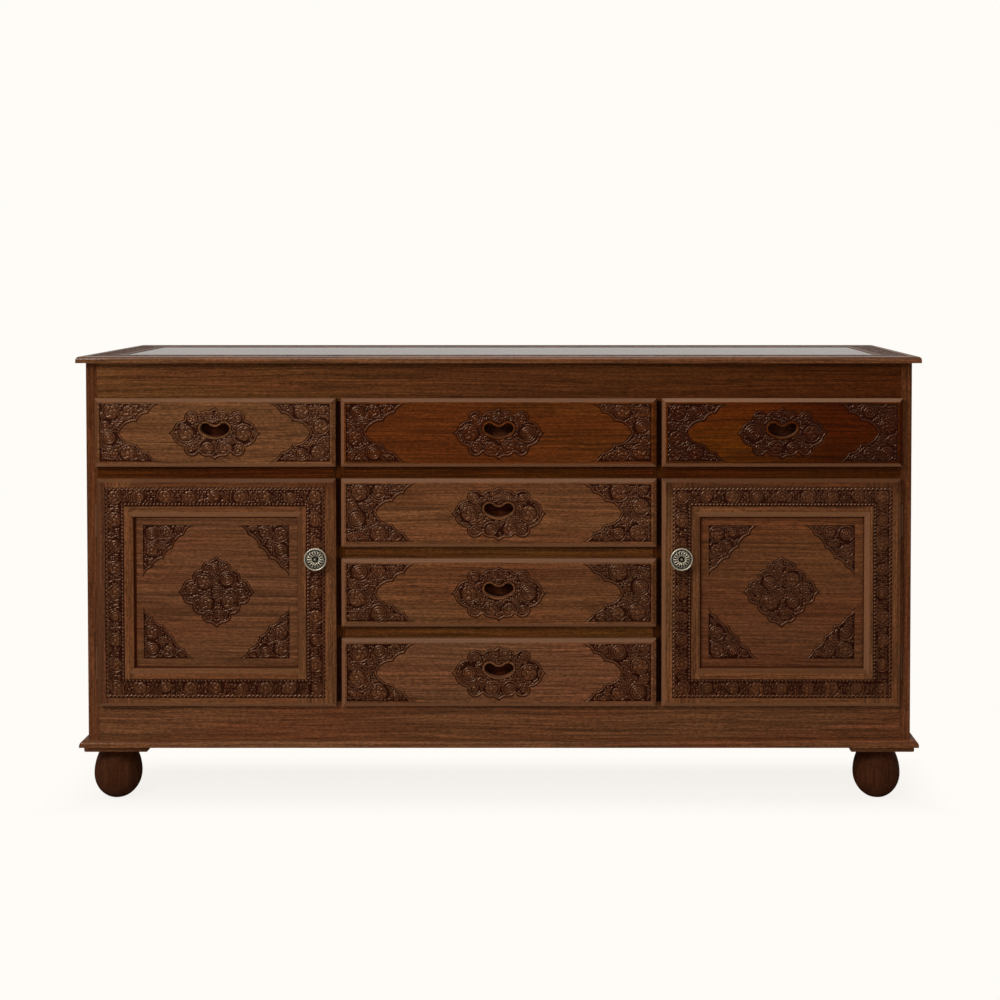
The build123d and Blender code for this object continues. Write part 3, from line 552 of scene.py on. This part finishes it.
def fill(height, u, v, room, flowers, seed, gap=3.7):
    """Stamp the flowers, then leaves and beads on a jittered lattice wherever room is left."""
    for number, (fu, fv, radius) in enumerate(flowers):
        turn = 2.4 * number + seed
        kind = volute(radius, turn, 1 - 2 * (number % 2)) if (number + seed) % 3 == 1 else \
            flower(radius, turn, max(5, round(radius / 2.3)))
        stamp(height, u, v, (fu, fv), 1.42 * radius, kind)
    chance = np.random.default_rng(seed)
    lattice_u, lattice_v = np.meshgrid(np.arange(u[0], u[-1], gap), np.arange(v[0], v[-1], gap))
    spots = np.stack([lattice_u.ravel(), lattice_v.ravel()], axis=1)
    spots += chance.uniform(-0.3, 0.3, spots.shape) * gap
    column = np.clip(np.searchsorted(u, spots[:, 0]), 0, len(u) - 1)
    row = np.clip(np.searchsorted(v, spots[:, 1]), 0, len(v) - 1)
    free = room[row, column] > 1.2
    centres = np.array([f[:2] for f in flowers])
    radii = np.array([f[2] for f in flowers])
    way = spots[:, None] - centres
    clear = np.hypot(way[..., 0], way[..., 1]) - 1.36 * radii
    free &= clear.min(axis=1) > 0.2
    near = way[np.arange(len(spots)), clear.argmin(axis=1)]
    flow = np.arctan2(near[:, 1], near[:, 0]) + np.pi / 2 + chance.uniform(-0.5, 0.5, len(spots))
    size = chance.uniform(0.9, 1.15, len(spots))
    pick = chance.uniform(0, 1, len(spots))
    for spot, turn, scale, kind in zip(spots[free], flow[free], size[free], pick[free]):
        if kind < 0.5:
            stamp(height, u, v, spot, 4, leaf(6.2 * scale, 2.8 * scale, turn))
        else:
            stamp(height, u, v, spot, 2.5, bead(1.7 * scale))
    return height


print("thread from edge inward", thread(np.array([0.5, 1.5, 2.7, 4.0, 5.0])).round(2))

# %% [markdown]
# ## From heights to a closed slab
# A grid of heights over a field becomes a thin slab let into its pocket: the carved skin on top, a flat
# copy 3.2 mm below the face, and a wall all round. The slab runs 1 mm into the wood around the pocket,
# so no gap shows. The heights are also kept on the vertices, for the glaze that darkens the hollows.


# %% Slabs
def slab(u, v, height, kept, put):
    """Points, four-sided faces and glaze of a closed slab over the kept cells of a grid."""
    for _ in range(3):
        lone = kept[:-1, :-1] & kept[1:, 1:] & ~kept[:-1, 1:] & ~kept[1:, :-1]
        kept[:-1, 1:] |= lone
        lone = ~kept[:-1, :-1] & ~kept[1:, 1:] & kept[:-1, 1:] & kept[1:, :-1]
        kept[:-1, :-1] |= lone
    grid_u, grid_v = np.meshgrid(u, v)
    count = grid_u.size
    number = np.arange(count).reshape(grid_u.shape)
    cell = np.stack([number[:-1, :-1], number[:-1, 1:], number[1:, 1:], number[1:, :-1]], axis=-1)
    faces = [cell[kept], cell[kept][:, ::-1] + count]
    around = np.pad(kept, 1)
    shifts = {(0, 1): (-1, 0), (1, 2): (0, 1), (2, 3): (1, 0), (3, 0): (0, -1)}
    for (first, second), (row, column) in shifts.items():
        beyond = around[1 + row:1 + row + kept.shape[0], 1 + column:1 + column + kept.shape[1]]
        rim = cell[kept & ~beyond]
        a, b = rim[:, first], rim[:, second]
        faces.append(np.stack([b, a, a + count, b + count], axis=1))
    faces = np.concatenate(faces)
    used, faces = np.unique(faces, return_inverse=True)
    flat_u, flat_v = np.tile(grid_u.ravel(), 2)[used], np.tile(grid_v.ravel(), 2)[used]
    level = np.concatenate([height.ravel(), np.full(count, SLAB_FLOOR)])[used]
    return put(flat_u, flat_v, level), faces.reshape(-1, 4), np.clip((level - BED) / -BED, 0, 1)


def on_front(centre_x, face_y, centre_z, turn_u=1, turn_v=1):
    """Places a grid on an upright face: u to the right, v up, heights towards the viewer."""
    return lambda u, v, h: np.stack([centre_x + turn_u * u, face_y - h, centre_z + turn_v * v], axis=1) * MM


def set_relief(mesh, values):
    """Keep one glaze value on each vertex, for the materials."""
    mesh.attributes.new("relief", "FLOAT", "POINT").data.foreach_set("value", values.astype(np.float32).ravel())


def piece(name, slabs, material, body):
    """One object from several slabs, each (points, faces, glaze, flipped)."""
    points, faces, glazes, start = [], [], [], 0
    for place, quads, glaze, flipped in slabs:
        faces.append((quads[:, ::-1] if flipped else quads) + start)
        points.append(place)
        glazes.append(glaze)
        start += len(place)
    points, faces = np.concatenate(points), np.concatenate(faces)
    mesh = bpy.data.meshes.new(name)
    mesh.vertices.add(len(points))
    mesh.vertices.foreach_set("co", points.astype(np.float32).ravel())
    mesh.loops.add(faces.size)
    mesh.loops.foreach_set("vertex_index", faces.astype(np.int32).ravel())
    mesh.polygons.add(len(faces))
    mesh.polygons.foreach_set("loop_start", np.arange(0, faces.size, 4, dtype=np.int32))
    mesh.update(calc_edges=True)
    mesh.polygons.foreach_set("use_smooth", np.ones(len(faces), bool))
    set_relief(mesh, np.concatenate(glazes))
    mesh.materials.append(material)
    made = add_object(name, mesh)
    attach(made, body)
    print(name, "faces", len(faces))
    return made


print("slab builder ready")

# %% [markdown]
# ## The drawers' carving
# Every front has the medallion round its finger pull and a field at each end. The discs sit where the
# lobes leave room: one in each broad end lobe, two below the pull, two curls above it.


# %% Drawer carving
def grid(low_u, high_u, low_v, high_v, step):
    """Grid lines across and up, step millimetres apart."""
    return np.arange(low_u, high_u + step / 2, step), np.arange(low_v, high_v + step / 2, step)


def full_cells(kept):
    """Cells of a grid whose four corners are all kept."""
    return kept[:-1, :-1] & kept[1:, 1:] & kept[:-1, 1:] & kept[1:, :-1]


def carve_medallion(outline, flowers, seed, hole=None, hole_v=0.0, step=1.0):
    """Grid, heights and kept cells of a medallion, with an optional hole in it."""
    reach = np.abs(outline).max(axis=0) + 2
    u, v = grid(-reach[0], reach[0], -reach[1], reach[1], step)
    grid_u, grid_v = np.meshgrid(u, v)
    edge = inside_depth(grid_u, grid_v, outline)
    room = edge - THREAD_ROOM
    if hole is not None:
        rim = -inside_depth(grid_u, grid_v - hole_v, hole)
        room = np.minimum(room, rim - 2.2)
    height = fill(ground(grid_u, grid_v), u, v, room, flowers, seed)
    height = np.where(np.abs(edge) > THREAD_ROOM, height, thread(np.abs(edge)))
    kept = edge > -1.0
    if hole is not None:
        height = np.where(rim < 2.2, -1.9, height)
        kept &= rim > 0
    return u, v, height, full_cells(kept)


def carve_corner(outline, threaded, flowers, seed, step=1.0):
    """Grid, heights and kept cells of a field whose scalloped side alone carries the thread."""
    low, high = outline.min(axis=0) - 2, outline.max(axis=0) + 2
    u, v = grid(low[0], high[0], low[1], high[1], step)
    grid_u, grid_v = np.meshgrid(u, v)
    depth = inside_depth(grid_u, grid_v, outline)
    back = threaded[::-1] + (1e-6, 1e-6)
    edge = np.abs(inside_depth(grid_u, grid_v, np.concatenate([threaded, back])))
    room = np.minimum(depth - 1.5, edge - THREAD_ROOM)
    height = fill(ground(grid_u, grid_v), u, v, room, flowers, seed)
    height = np.where(depth > 1.3, height, -2.0)
    height = np.where(edge > THREAD_ROOM, height, thread(edge))
    kept = depth > -1.0
    return u, v, height, full_cells(kept)


PULL_RISE, MEDALLION_DROP, END_HEIGHT, END_LENGTH, END_INSET = 5.0, 1.5, 57.5, 122.0, 10.5
# Half length and half height of the medallion, length and waist of the end fields.
FIELDS = {"top": (92.0, 53.5, END_LENGTH, 0.33), "lower": (96.0, 56.0, 139.0, 0.43)}
hole = kidney(2.5)
drawer_flowers = [(-0.615, 0, 14.5), (0.625, 0, 14.5), (-0.15, -0.565, 12.5), (0.23, -0.565, 12.5),
                  (-0.50, 0.55, 8), (0.50, 0.55, 8), (-0.50, -0.55, 7.5), (0.51, -0.55, 7.5), (-0.11, 0.72, 7),
                  (0.14, 0.72, 7), (-0.87, -0.02, 4), (0.87, -0.02, 4)]
end_flowers = [(0.19, 0.70, 13.5), (0.47, 0.74, 10.5), (0.15, -0.20, 13.5), (0.46, -0.72, 13.5), (0.10, -0.78, 6),
               (0.09, 0.26, 7.5), (0.68, 0.88, 4), (0.70, -0.88, 4)]


def end_field(length, waist):
    """Outline of an end field and its scalloped side; u runs inward from the straight side."""
    upper = [(0, 0), (0.42, 0.38), (0.70, 0.66), (1, 1)]
    shares = [(u, -v) for u, v in upper[:0:-1]] + upper
    points = [((waist + u * (1 - waist)) * length, v * END_HEIGHT) for u, v in shares]
    side = scalloped(points, [0.14, 0.17, 0.17, 0.17, 0.17, 0.14])
    return np.concatenate([side, [(0, END_HEIGHT), (0, -END_HEIGHT)]]), side


for number, drawer in enumerate(DRAWERS):
    front = f"drawer_{drawer}_front"
    centre, width = middle(front), span(front)[0]
    half_u, half_v, length, waist = FIELDS["top" if drawer.startswith("top") else "lower"]
    flowers = [(fu * half_u, fv * half_v, radius) for fu, fv, radius in drawer_flowers]
    u, v, height, kept = carve_medallion(drawer_medallion(half_u, half_v), flowers, 11 + number, hole,
                                         PULL_RISE + MEDALLION_DROP)
    slabs = [(*slab(u, v, height, kept, on_front(centre[0], front_y, centre[2] - MEDALLION_DROP)), False)]
    outline, side = end_field(length, waist)
    for way in (1, -1):
        flowers = [(fu * length, fv * END_HEIGHT * way, r * length / END_LENGTH) for fu, fv, r in end_flowers]
        u, v, height, kept = carve_corner(outline, side, flowers, 31 + 2 * number + way)
        start = centre[0] - way * (width / 2 - END_INSET)
        slabs.append((*slab(u, v, height, kept, on_front(start, front_y, centre[2], way)), way < 0))
    tones, shift = fronts[drawer]
    wood = walnut(f"walnut_carved_{drawer}", tones, shift=shift, carved=True)
    piece(f"drawer_{drawer}_carving", slabs, wood, f"drawer_{drawer}")

# %% [markdown]
# ## The doors' carving
# A band runs all round each door frame, with a flower at every corner, small scallops outside and a
# row of beads inside. The recessed panel has a medallion and four corner fields.


# %% Door carving
def carve_ring(half_u, half_v, width, seed, pitch, radius, step):
    """Grid, heights and kept cells of a rectangular band, measured inward from its outer edge."""
    u, v = grid(-half_u - 2, half_u + 2, -half_v - 2, half_v + 2, step)
    grid_u, grid_v = np.meshgrid(u, v)
    inset_u, inset_v = half_u - np.abs(grid_u), half_v - np.abs(grid_v)
    inset = np.minimum(inset_u, inset_v)
    along = np.where(inset_u < inset_v, grid_v, grid_u)
    mid_u, mid_v = half_u - width / 2, half_v - width / 2
    count_u, count_v = round(2 * mid_u / pitch), round(2 * mid_v / pitch)
    flowers = []
    for way in (-1, 1):
        for place in np.linspace(-mid_u, mid_u, count_u + 1):
            flowers.append((place, way * mid_v))
        for place in np.linspace(-mid_v, mid_v, count_v + 1)[1:-1]:
            flowers.append((way * mid_u, place))
    flowers = [(*place, radius * (1.0, 0.92, 0.78)[number % 3]) for number, place in enumerate(flowers)]
    room = np.minimum(inset - 6.8, width - inset - 6.8)
    height = fill(ground(grid_u, grid_v), u, v, room, flowers, seed, gap=4.6)
    wave = (along + 4.2) % 8.4 - 4.2
    scallop = -0.2 - ((np.hypot(wave, inset - 1.4) - 3.6) / 1.1) ** 2
    height = np.where(inset < 6.4, np.maximum(scallop, -2.3), height)
    rope = (along + 0.6 * inset + 3.6) % 7.2 - 3.6
    beads = -0.2 - 1.9 * (rope**2 / 2.9**2 + (inset - width + 3.6) ** 2 / 2.5**2)
    height = np.where(inset > width - 6.4, np.maximum(beads, BED), height)
    height = np.where((inset < 1.0) | (inset > width - 1.0), -1.7, height)
    kept = (inset > -1.0) & (inset < width + 1.0)
    return u, v, height, full_cells(kept)


BAND_INSET, CORNER_INSET, CORNER_LENGTH, CORNER_HEIGHT = 17, 18, 104, 107
door_flowers = [(-24, 19, 13), (22, 24, 13.5), (-21, -23, 13), (24, -21, 12.5), (50, -2, 8), (-50, 2, 8), (0, 0, 8),
                (-4, 46, 7), (4, -46, 7), (-37, 36, 5), (40, -38, 5)]
corner_shares = [(1, 0), (0.79, 0.19), (0.58, 0.43), (0.40, 0.63), (0.17, 0.80), (0, 1)]
corner_side = scalloped([(a * CORNER_LENGTH, b * CORNER_HEIGHT) for a, b in corner_shares], [0.16] * 5)
corner_field = np.concatenate([corner_side, [(0, 0)]])
corner_flowers = [(17, 18, 13), (17, 51, 12), (49, 15, 10), (13, 76, 5), (73, 9, 5), (38, 38, 6)]

for number, side in enumerate(("left", "right")):
    low, high = box_mm(f"door_{side}_panel")
    centre = (low + high) / 2
    wood = walnut(f"walnut_carved_panel_{side}", PANEL, shift=cut(number + 13), band_mm=14, carved=True)
    u, v, height, kept = carve_medallion(door_medallion, door_flowers, 51 + number)
    slabs = [(*slab(u, v, height, kept, on_front(centre[0], low[1], centre[2])), False)]
    for corner, (turn_u, turn_v) in enumerate(((1, 1), (-1, 1), (-1, -1), (1, -1))):
        u, v, height, kept = carve_corner(corner_field, corner_side, corner_flowers, 61 + 4 * number + corner)
        start_x = centre[0] - turn_u * ((high[0] - low[0]) / 2 - CORNER_INSET)
        start_z = centre[2] - turn_v * ((high[2] - low[2]) / 2 - CORNER_INSET)
        place = on_front(start_x, low[1], start_z, turn_u, turn_v)
        slabs.append((*slab(u, v, height, kept, place), turn_u * turn_v < 0))
    piece(f"door_{side}_panel_carving", slabs, wood, f"door_{side}")

    stile, tall = span(f"door_{side}_hinge_stile")[[0, 2]]
    wood = walnut(f"walnut_carved_band_{side}", BROWN, along="Z", shift=cut(number + 15), carved=True)
    half_u, half_v = (high[0] - low[0]) / 2 + stile - BAND_INSET, tall / 2 - BAND_INSET
    u, v, height, kept = carve_ring(half_u, half_v, width=38, seed=71 + number, pitch=48, radius=12.5, step=1.25)
    place = on_front(centre[0], front_y, centre[2])
    piece(f"door_{side}_band_carving", [(*slab(u, v, height, kept, place), False)], wood, f"door_{side}")

# %% [markdown]
# ## A painted shadow round each door panel
# A dark line along the panel's edges is painted shadow: the shade that the frame casts on the recessed
# panel. The line is a skin 0.4 mm thick laid on the panel, widest on the left.


# %% The dark lines
def bar(x0, x1, z0, z1, face_y, height):
    """A flat bar on an upright face: eight corners, and six sides whose corners turn outward."""
    corners = np.array([(x, y, z) for y in (face_y, face_y - height) for x in (x0, x1) for z in (z0, z1)]) * MM
    sides = np.array([(0, 1, 3, 2), (4, 6, 7, 5), (0, 4, 5, 1), (2, 3, 7, 6), (0, 2, 6, 4), (1, 5, 7, 3)])
    return corners, sides, np.ones(8), False


# Painted shadow: a dark skin where the frame's shade falls on the panel, widest on the left.
SHADOW_LINE_HEIGHT = 0.4
shadow_paint = plain("painted_shadow", "#3a1606", 0.0, 0.8, gloss=0.03)
for side, left_width in (("left", 5.0), ("right", 3.0)):
    low, high = box_mm(f"door_{side}_panel")
    left, right = low[0] + left_width, high[0] - 1.5
    lines = [(low[0], left, low[2], high[2]), (right, high[0], low[2], high[2]),
             (left, right, high[2] - 2.6, high[2]), (left, right, low[2], low[2] + 2.2)]
    bars = [bar(*line, low[1], SHADOW_LINE_HEIGHT) for line in lines]
    made = piece(f"door_{side}_shadow_line", bars, shadow_paint, f"door_{side}")
    made.data.shade_flat()

# %% [markdown]
# ## The top's carved border
# The four mitred members of the top carry one continuous band of flowers, seen at a low angle.

# %% Top carving
TOP_INSET = 20
low = np.minimum(box_mm("top_frame_front")[0], box_mm("top_frame_back")[0])
high = np.maximum(box_mm("top_frame_front")[1], box_mm("top_frame_back")[1])
centre, half = (low + high) / 2, (high - low) / 2 - TOP_INSET
u, v, height, kept = carve_ring(half[0], half[1], width=45, seed=91, pitch=50, radius=15, step=2.0)


def over(u, v, h):
    """Places a grid on the top board: u to the right, v to the back, heights upward."""
    return np.stack([centre[0] + u, centre[1] + v, high[2] + h], axis=1) * MM


wood = walnut("walnut_carved_top", BROWN, shift=cut(29), coat=0.0, carved=True)
piece("top_border_carving", [(*slab(u, v, height, kept, over), False)], wood, "carcass")

# %% [markdown]
# ## Turned and cast parts
# A foot is turned on a lathe: two arcs that meet upright at its widest ring. A knob is cast brass: the
# same turning, with sixteen raised petal loops between a ring groove and the eye. Both are one grid of
# rings by angles, so the petals are only a height that also depends on the angle.


# %% Turned parts
def turned(rings, count):
    """Points of a turned solid from (radius, height) rings; a height may differ by angle."""
    angle = np.arange(count) * 2 * np.pi / count
    radius = np.array([r for r, _ in rings])[:, None]
    height = np.array([np.broadcast_to(h, count) for _, h in rings])
    return np.stack([radius * np.cos(angle), radius * np.sin(angle), height], axis=-1)


def turned_faces(rings, count, start):
    """Four-sided faces between the rings, and a cap on both ends."""
    number = start + np.arange(rings * count).reshape(rings, count)
    onward = np.roll(number, -1, axis=1)
    sides = np.stack([number[:-1], onward[:-1], onward[1:], number[1:]], axis=-1).reshape(-1, 4)
    return [*sides.tolist(), number[0, ::-1].tolist(), number[-1].tolist()]


def turned_piece(name, solids, material, glaze=None):
    """One object from turned solids given as arrays of rings by angles by place."""
    mesh = bpy.data.meshes.new(name)
    faces, start = [], 0
    for solid in solids:
        faces += turned_faces(solid.shape[0], solid.shape[1], start)
        start += solid.shape[0] * solid.shape[1]
    points = np.concatenate([solid.reshape(-1, 3) for solid in solids])
    mesh.from_pydata(points.tolist(), [], faces)
    mesh.polygons.foreach_set("use_smooth", np.ones(len(mesh.polygons), bool))
    if glaze is not None:
        set_relief(mesh, glaze)
    mesh.materials.append(material)
    return add_object(name, mesh)


def flank(start, end, count):
    """A quarter-like arc of (radius, height) that leaves start's height level and is upright at end."""
    radius, height = end
    fall, rise = radius - start[0], abs(height - start[1])
    arc_radius = (fall**2 + rise**2) / (2 * fall)
    up = np.linspace(start[1], height, count)
    return np.stack([radius - arc_radius + np.sqrt(arc_radius**2 - (up - height) ** 2), up], axis=1)


low, high = box_mm("feet")
FOOT_RADIUS, WIDEST_HEIGHT, NECK_RADIUS, SOLE_ANGLE = 47.5, 48.0, 28.0, 0.385
swing = np.linspace(SOLE_ANGLE, np.pi / 2, 16)
lower = np.stack([FOOT_RADIUS * np.sin(swing), WIDEST_HEIGHT * (1 - np.cos(swing) / math.cos(SOLE_ANGLE))], axis=1)
upper = flank((NECK_RADIUS, high[2]), (FOOT_RADIUS, WIDEST_HEIGHT), 18)[::-1]
profile = np.concatenate([lower, upper[1:]])
foot_shape = turned([(radius * 0.998, height) for radius, height in profile], 96)
feet = []
for x in (low[0] + FOOT_RADIUS, high[0] - FOOT_RADIUS):
    for y in (low[1] + FOOT_RADIUS, high[1] - FOOT_RADIUS):
        feet.append((foot_shape + (x, y, 0)) * MM)
foot_wood = walnut("walnut_foot", FOOT, along="Z", shift=cut(36), rough=0.6, coat=0.0, line_strength=0.16)
turned_feet = turned_piece("turned_feet", feet, foot_wood)
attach(turned_feet, "carcass")
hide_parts("feet")

PETALS = 16
STEPS = PETALS * 16
# Rings of the knob as (radius, height) in millimetres: shank, back, rim and the groove inside the rim.
angle = np.arange(STEPS) * 2 * np.pi / STEPS
rings = [(0.4, 0), (10, 0), (10, 2.5), (6, 5), (6, 12.5), (8, 12.6), (19.5, 14.6), (22.2, 16.9), (22.5, 17.4),
         (22.5, 18.9), (22.3, 19.7), (21.7, 20.4), (21.0, 20.5), (20.3, 20.4), (19.7, 19.7), (19.5, 19.0),
         (19.4, 17.6), (18.2, 17.5), (17.7, 17.6)]
glaze = [0.78] * 14 + [0.6, 0.4, 0.1, 0.1, 0.1]
# Petals: a domed ring from radius 17.4 to 6.5, with a raised line along both sides of every petal.
for radius in np.linspace(17.4, 6.5, 32):
    share = (radius - 11.9) / 5.6
    crown = 17.9 + 3.0 * math.sqrt(max(0.0, 1 - share**2))
    across = np.abs((angle * PETALS / (2 * np.pi)) % 1 - 0.5) * 2 * np.pi * radius / PETALS
    half = 0.84 * np.pi * radius / PETALS * math.sqrt(max(0.0, 1 - (share / 1.02) ** 2))
    loop = np.exp(-((across - half) / 0.56) ** 2)
    rings.append((radius, crown - 1.2 + 1.5 * loop))
    glaze.append(np.minimum(1.2 * loop, 1))
rings += [(6.2, 18.6), (5.8, 17.6), (3.6, 17.5), (3.3, 18.2), (3.1, 20.2), (2.6, 22.2), (1.7, 23.8), (0.7, 24.45),
          (0.3, 24.5)]
glaze += [0.2, 0.0, 0.0, 0.05, 0.2, 0.35, 0.4, 0.4, 0.4]
knob_shape = turned(rings, STEPS)
knob_glaze = np.array([np.broadcast_to(value, STEPS) for value in glaze])

brass, tree = new_material("antique_brass")
worn = add(tree, "Attribute", attribute_name="relief").outputs["Fac"]
spots = add(tree, "TexNoise", {"Vector": add(tree, "TexCoord").outputs["Object"], "Scale": 400.0, "Detail": 2.0})
metal = ramp(tree, spots.outputs["Fac"], [(0.35, "#d4c7ab"), (0.65, "#f2e8d2")])
surface = add(tree, "BsdfPrincipled", {"Base Color": mix(tree, worn, linear("#080603"), metal), "Metallic": 0.7,
                                       "Roughness": 0.42})
add(tree, "OutputMaterial", {"Surface": surface.outputs["BSDF"]})

for side in ("left", "right"):
    low, high = box_mm(f"door_{side}_knob")
    centre = (low + high) / 2
    world = np.stack([centre[0] + knob_shape[..., 0], high[1] - knob_shape[..., 2],
                      centre[2] + knob_shape[..., 1]], axis=-1) * MM
    knob = turned_piece(f"rosette_knob_{side}", [world], brass, knob_glaze)
    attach(knob, f"door_{side}")
    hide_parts(f"door_{side}_knob")
print("knob", len(knob.data.polygons), "feet", len(turned_feet.data.polygons))

# %% [markdown]
# ## Floor, backdrop and light
# The cabinet stands on a pale sheet before a pale backdrop. The camera sees backdrop and far floor as
# plain warm white. Gloss sees a surround of its own, bright behind and above and nearly dark in front
# and below, so the backdrop shows along the top board and the upright faces stay deep and warm.

# %% Floor and backdrop
backdrop = bpy.data.worlds.new("studio_surround")
bpy.context.scene.world = backdrop
backdrop.use_nodes = True
sky = backdrop.node_tree
sky.nodes.clear()
rays = add(sky, "LightPath").outputs
way = add(sky, "SeparateXYZ", {"Vector": add(sky, "TexCoord").outputs["Generated"]}).outputs
behind = remap(sky, way["Y"], -0.1, 0.5, 0.01, 0.55)
ceiling = remap(sky, way["Z"], 0.25, 0.7, 0.0, 0.55)
mirrored = add(sky, "Math", {0: behind, 1: ceiling}, operation="MAXIMUM").outputs[0]
around = remap(sky, rays["Is Glossy Ray"], 0.0, 1.0, 0.40, mirrored)
room = add(sky, "Background", {"Color": (1, 0.97, 0.93, 1), "Strength": around})
white = add(sky, "Background", {"Color": linear("#fffcf7"), "Strength": 1.0})
chosen = add(sky, "MixShader", {0: rays["Is Camera Ray"], 1: room.outputs[0], 2: white.outputs[0]})
add(sky, "OutputWorld", {"Surface": chosen.outputs[0]})

floor_mesh = bpy.data.meshes.new("floor")
floor_mesh.from_pydata([(-30, -30, 0), (30, -30, 0), (30, 30, 0), (-30, 30, 0)], [], [(0, 1, 2, 3)])
floor = add_object("floor", floor_mesh)
paper, tree = new_material("matt_white_paper")
rays = add(tree, "LightPath").outputs
place = add(tree, "TexCoord").outputs["Object"]
across, back, _ = add(tree, "SeparateXYZ", {"Vector": place}).outputs
sideways = add(tree, "Math", {0: across}, operation="ABSOLUTE").outputs[0]
# The sheet shows its shadow only under and just before the cabinet; beyond these edges it is plain.
fade = 0.0
for distance, start, end in ((sideways, 0.80, 0.92), (back, -0.01, 0.085), (back, -0.18, -0.29)):
    edge = remap(tree, distance, start, end)
    fade = add(tree, "Math", {0: fade, 1: edge}, operation="MAXIMUM").outputs[0]
paper_white = linear("#fffcf7")
diffuse = add(tree, "BsdfDiffuse", {"Color": (0.070, 0.0695, 0.0685, 1)})
glow = add(tree, "Emission", {"Color": paper_white, "Strength": 0.888})
near = add(tree, "AddShader", {0: diffuse.outputs[0], 1: glow.outputs[0]})
far = add(tree, "Emission", {"Color": paper_white, "Strength": 1.0})
shown = add(tree, "MixShader", {0: fade, 1: near.outputs[0], 2: far.outputs[0]})
sheet = add(tree, "MixRGB", {0: rays["Is Glossy Ray"], 1: (0.7, 0.7, 0.69, 1), 2: (0.03, 0.03, 0.03, 1)})
lit = add(tree, "BsdfDiffuse", {"Color": sheet.outputs[0]})
chosen = add(tree, "MixShader", {0: rays["Is Camera Ray"], 1: lit.outputs[0], 2: shown.outputs[0]})
add(tree, "OutputMaterial", {"Surface": chosen.outputs[0]})
floor_mesh.materials.append(paper)
floor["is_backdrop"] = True

# %% [markdown]
# ## Lamps
# One broad lamp high on the left in front gives the bevels a lit and a shaded side. A weaker one fills
# from the right, and a third hangs above the front.


# %% Lamps
def lamp(name, place, aim, size, power):
    """A square area lamp at a place, turned to a point; power in watts."""
    data = bpy.data.lights.new(name, "AREA")
    data.size = size
    data.energy = power
    made = add_object(name, data)
    made.location = place
    way = np.array(aim) - np.array(place)
    made.rotation_euler = (math.atan2(math.hypot(way[0], way[1]), -way[2]), 0, math.atan2(-way[0], way[1]))
    return made


lamp("key", (-3.0, -3.8, 3.3), (0, 0, 0.45), 1.7, 170)
lamp("fill", (2.8, -2.8, 1.6), (0, 0, 0.45), 2.2, 13)
lamp("overhead", (-0.3, -1.6, 3.4), (0, -0.1, 0.5), 1.8, 22)

# %% Finish
low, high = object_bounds()
print("visual box", [round(v, 4) for v in (*low, *high)])
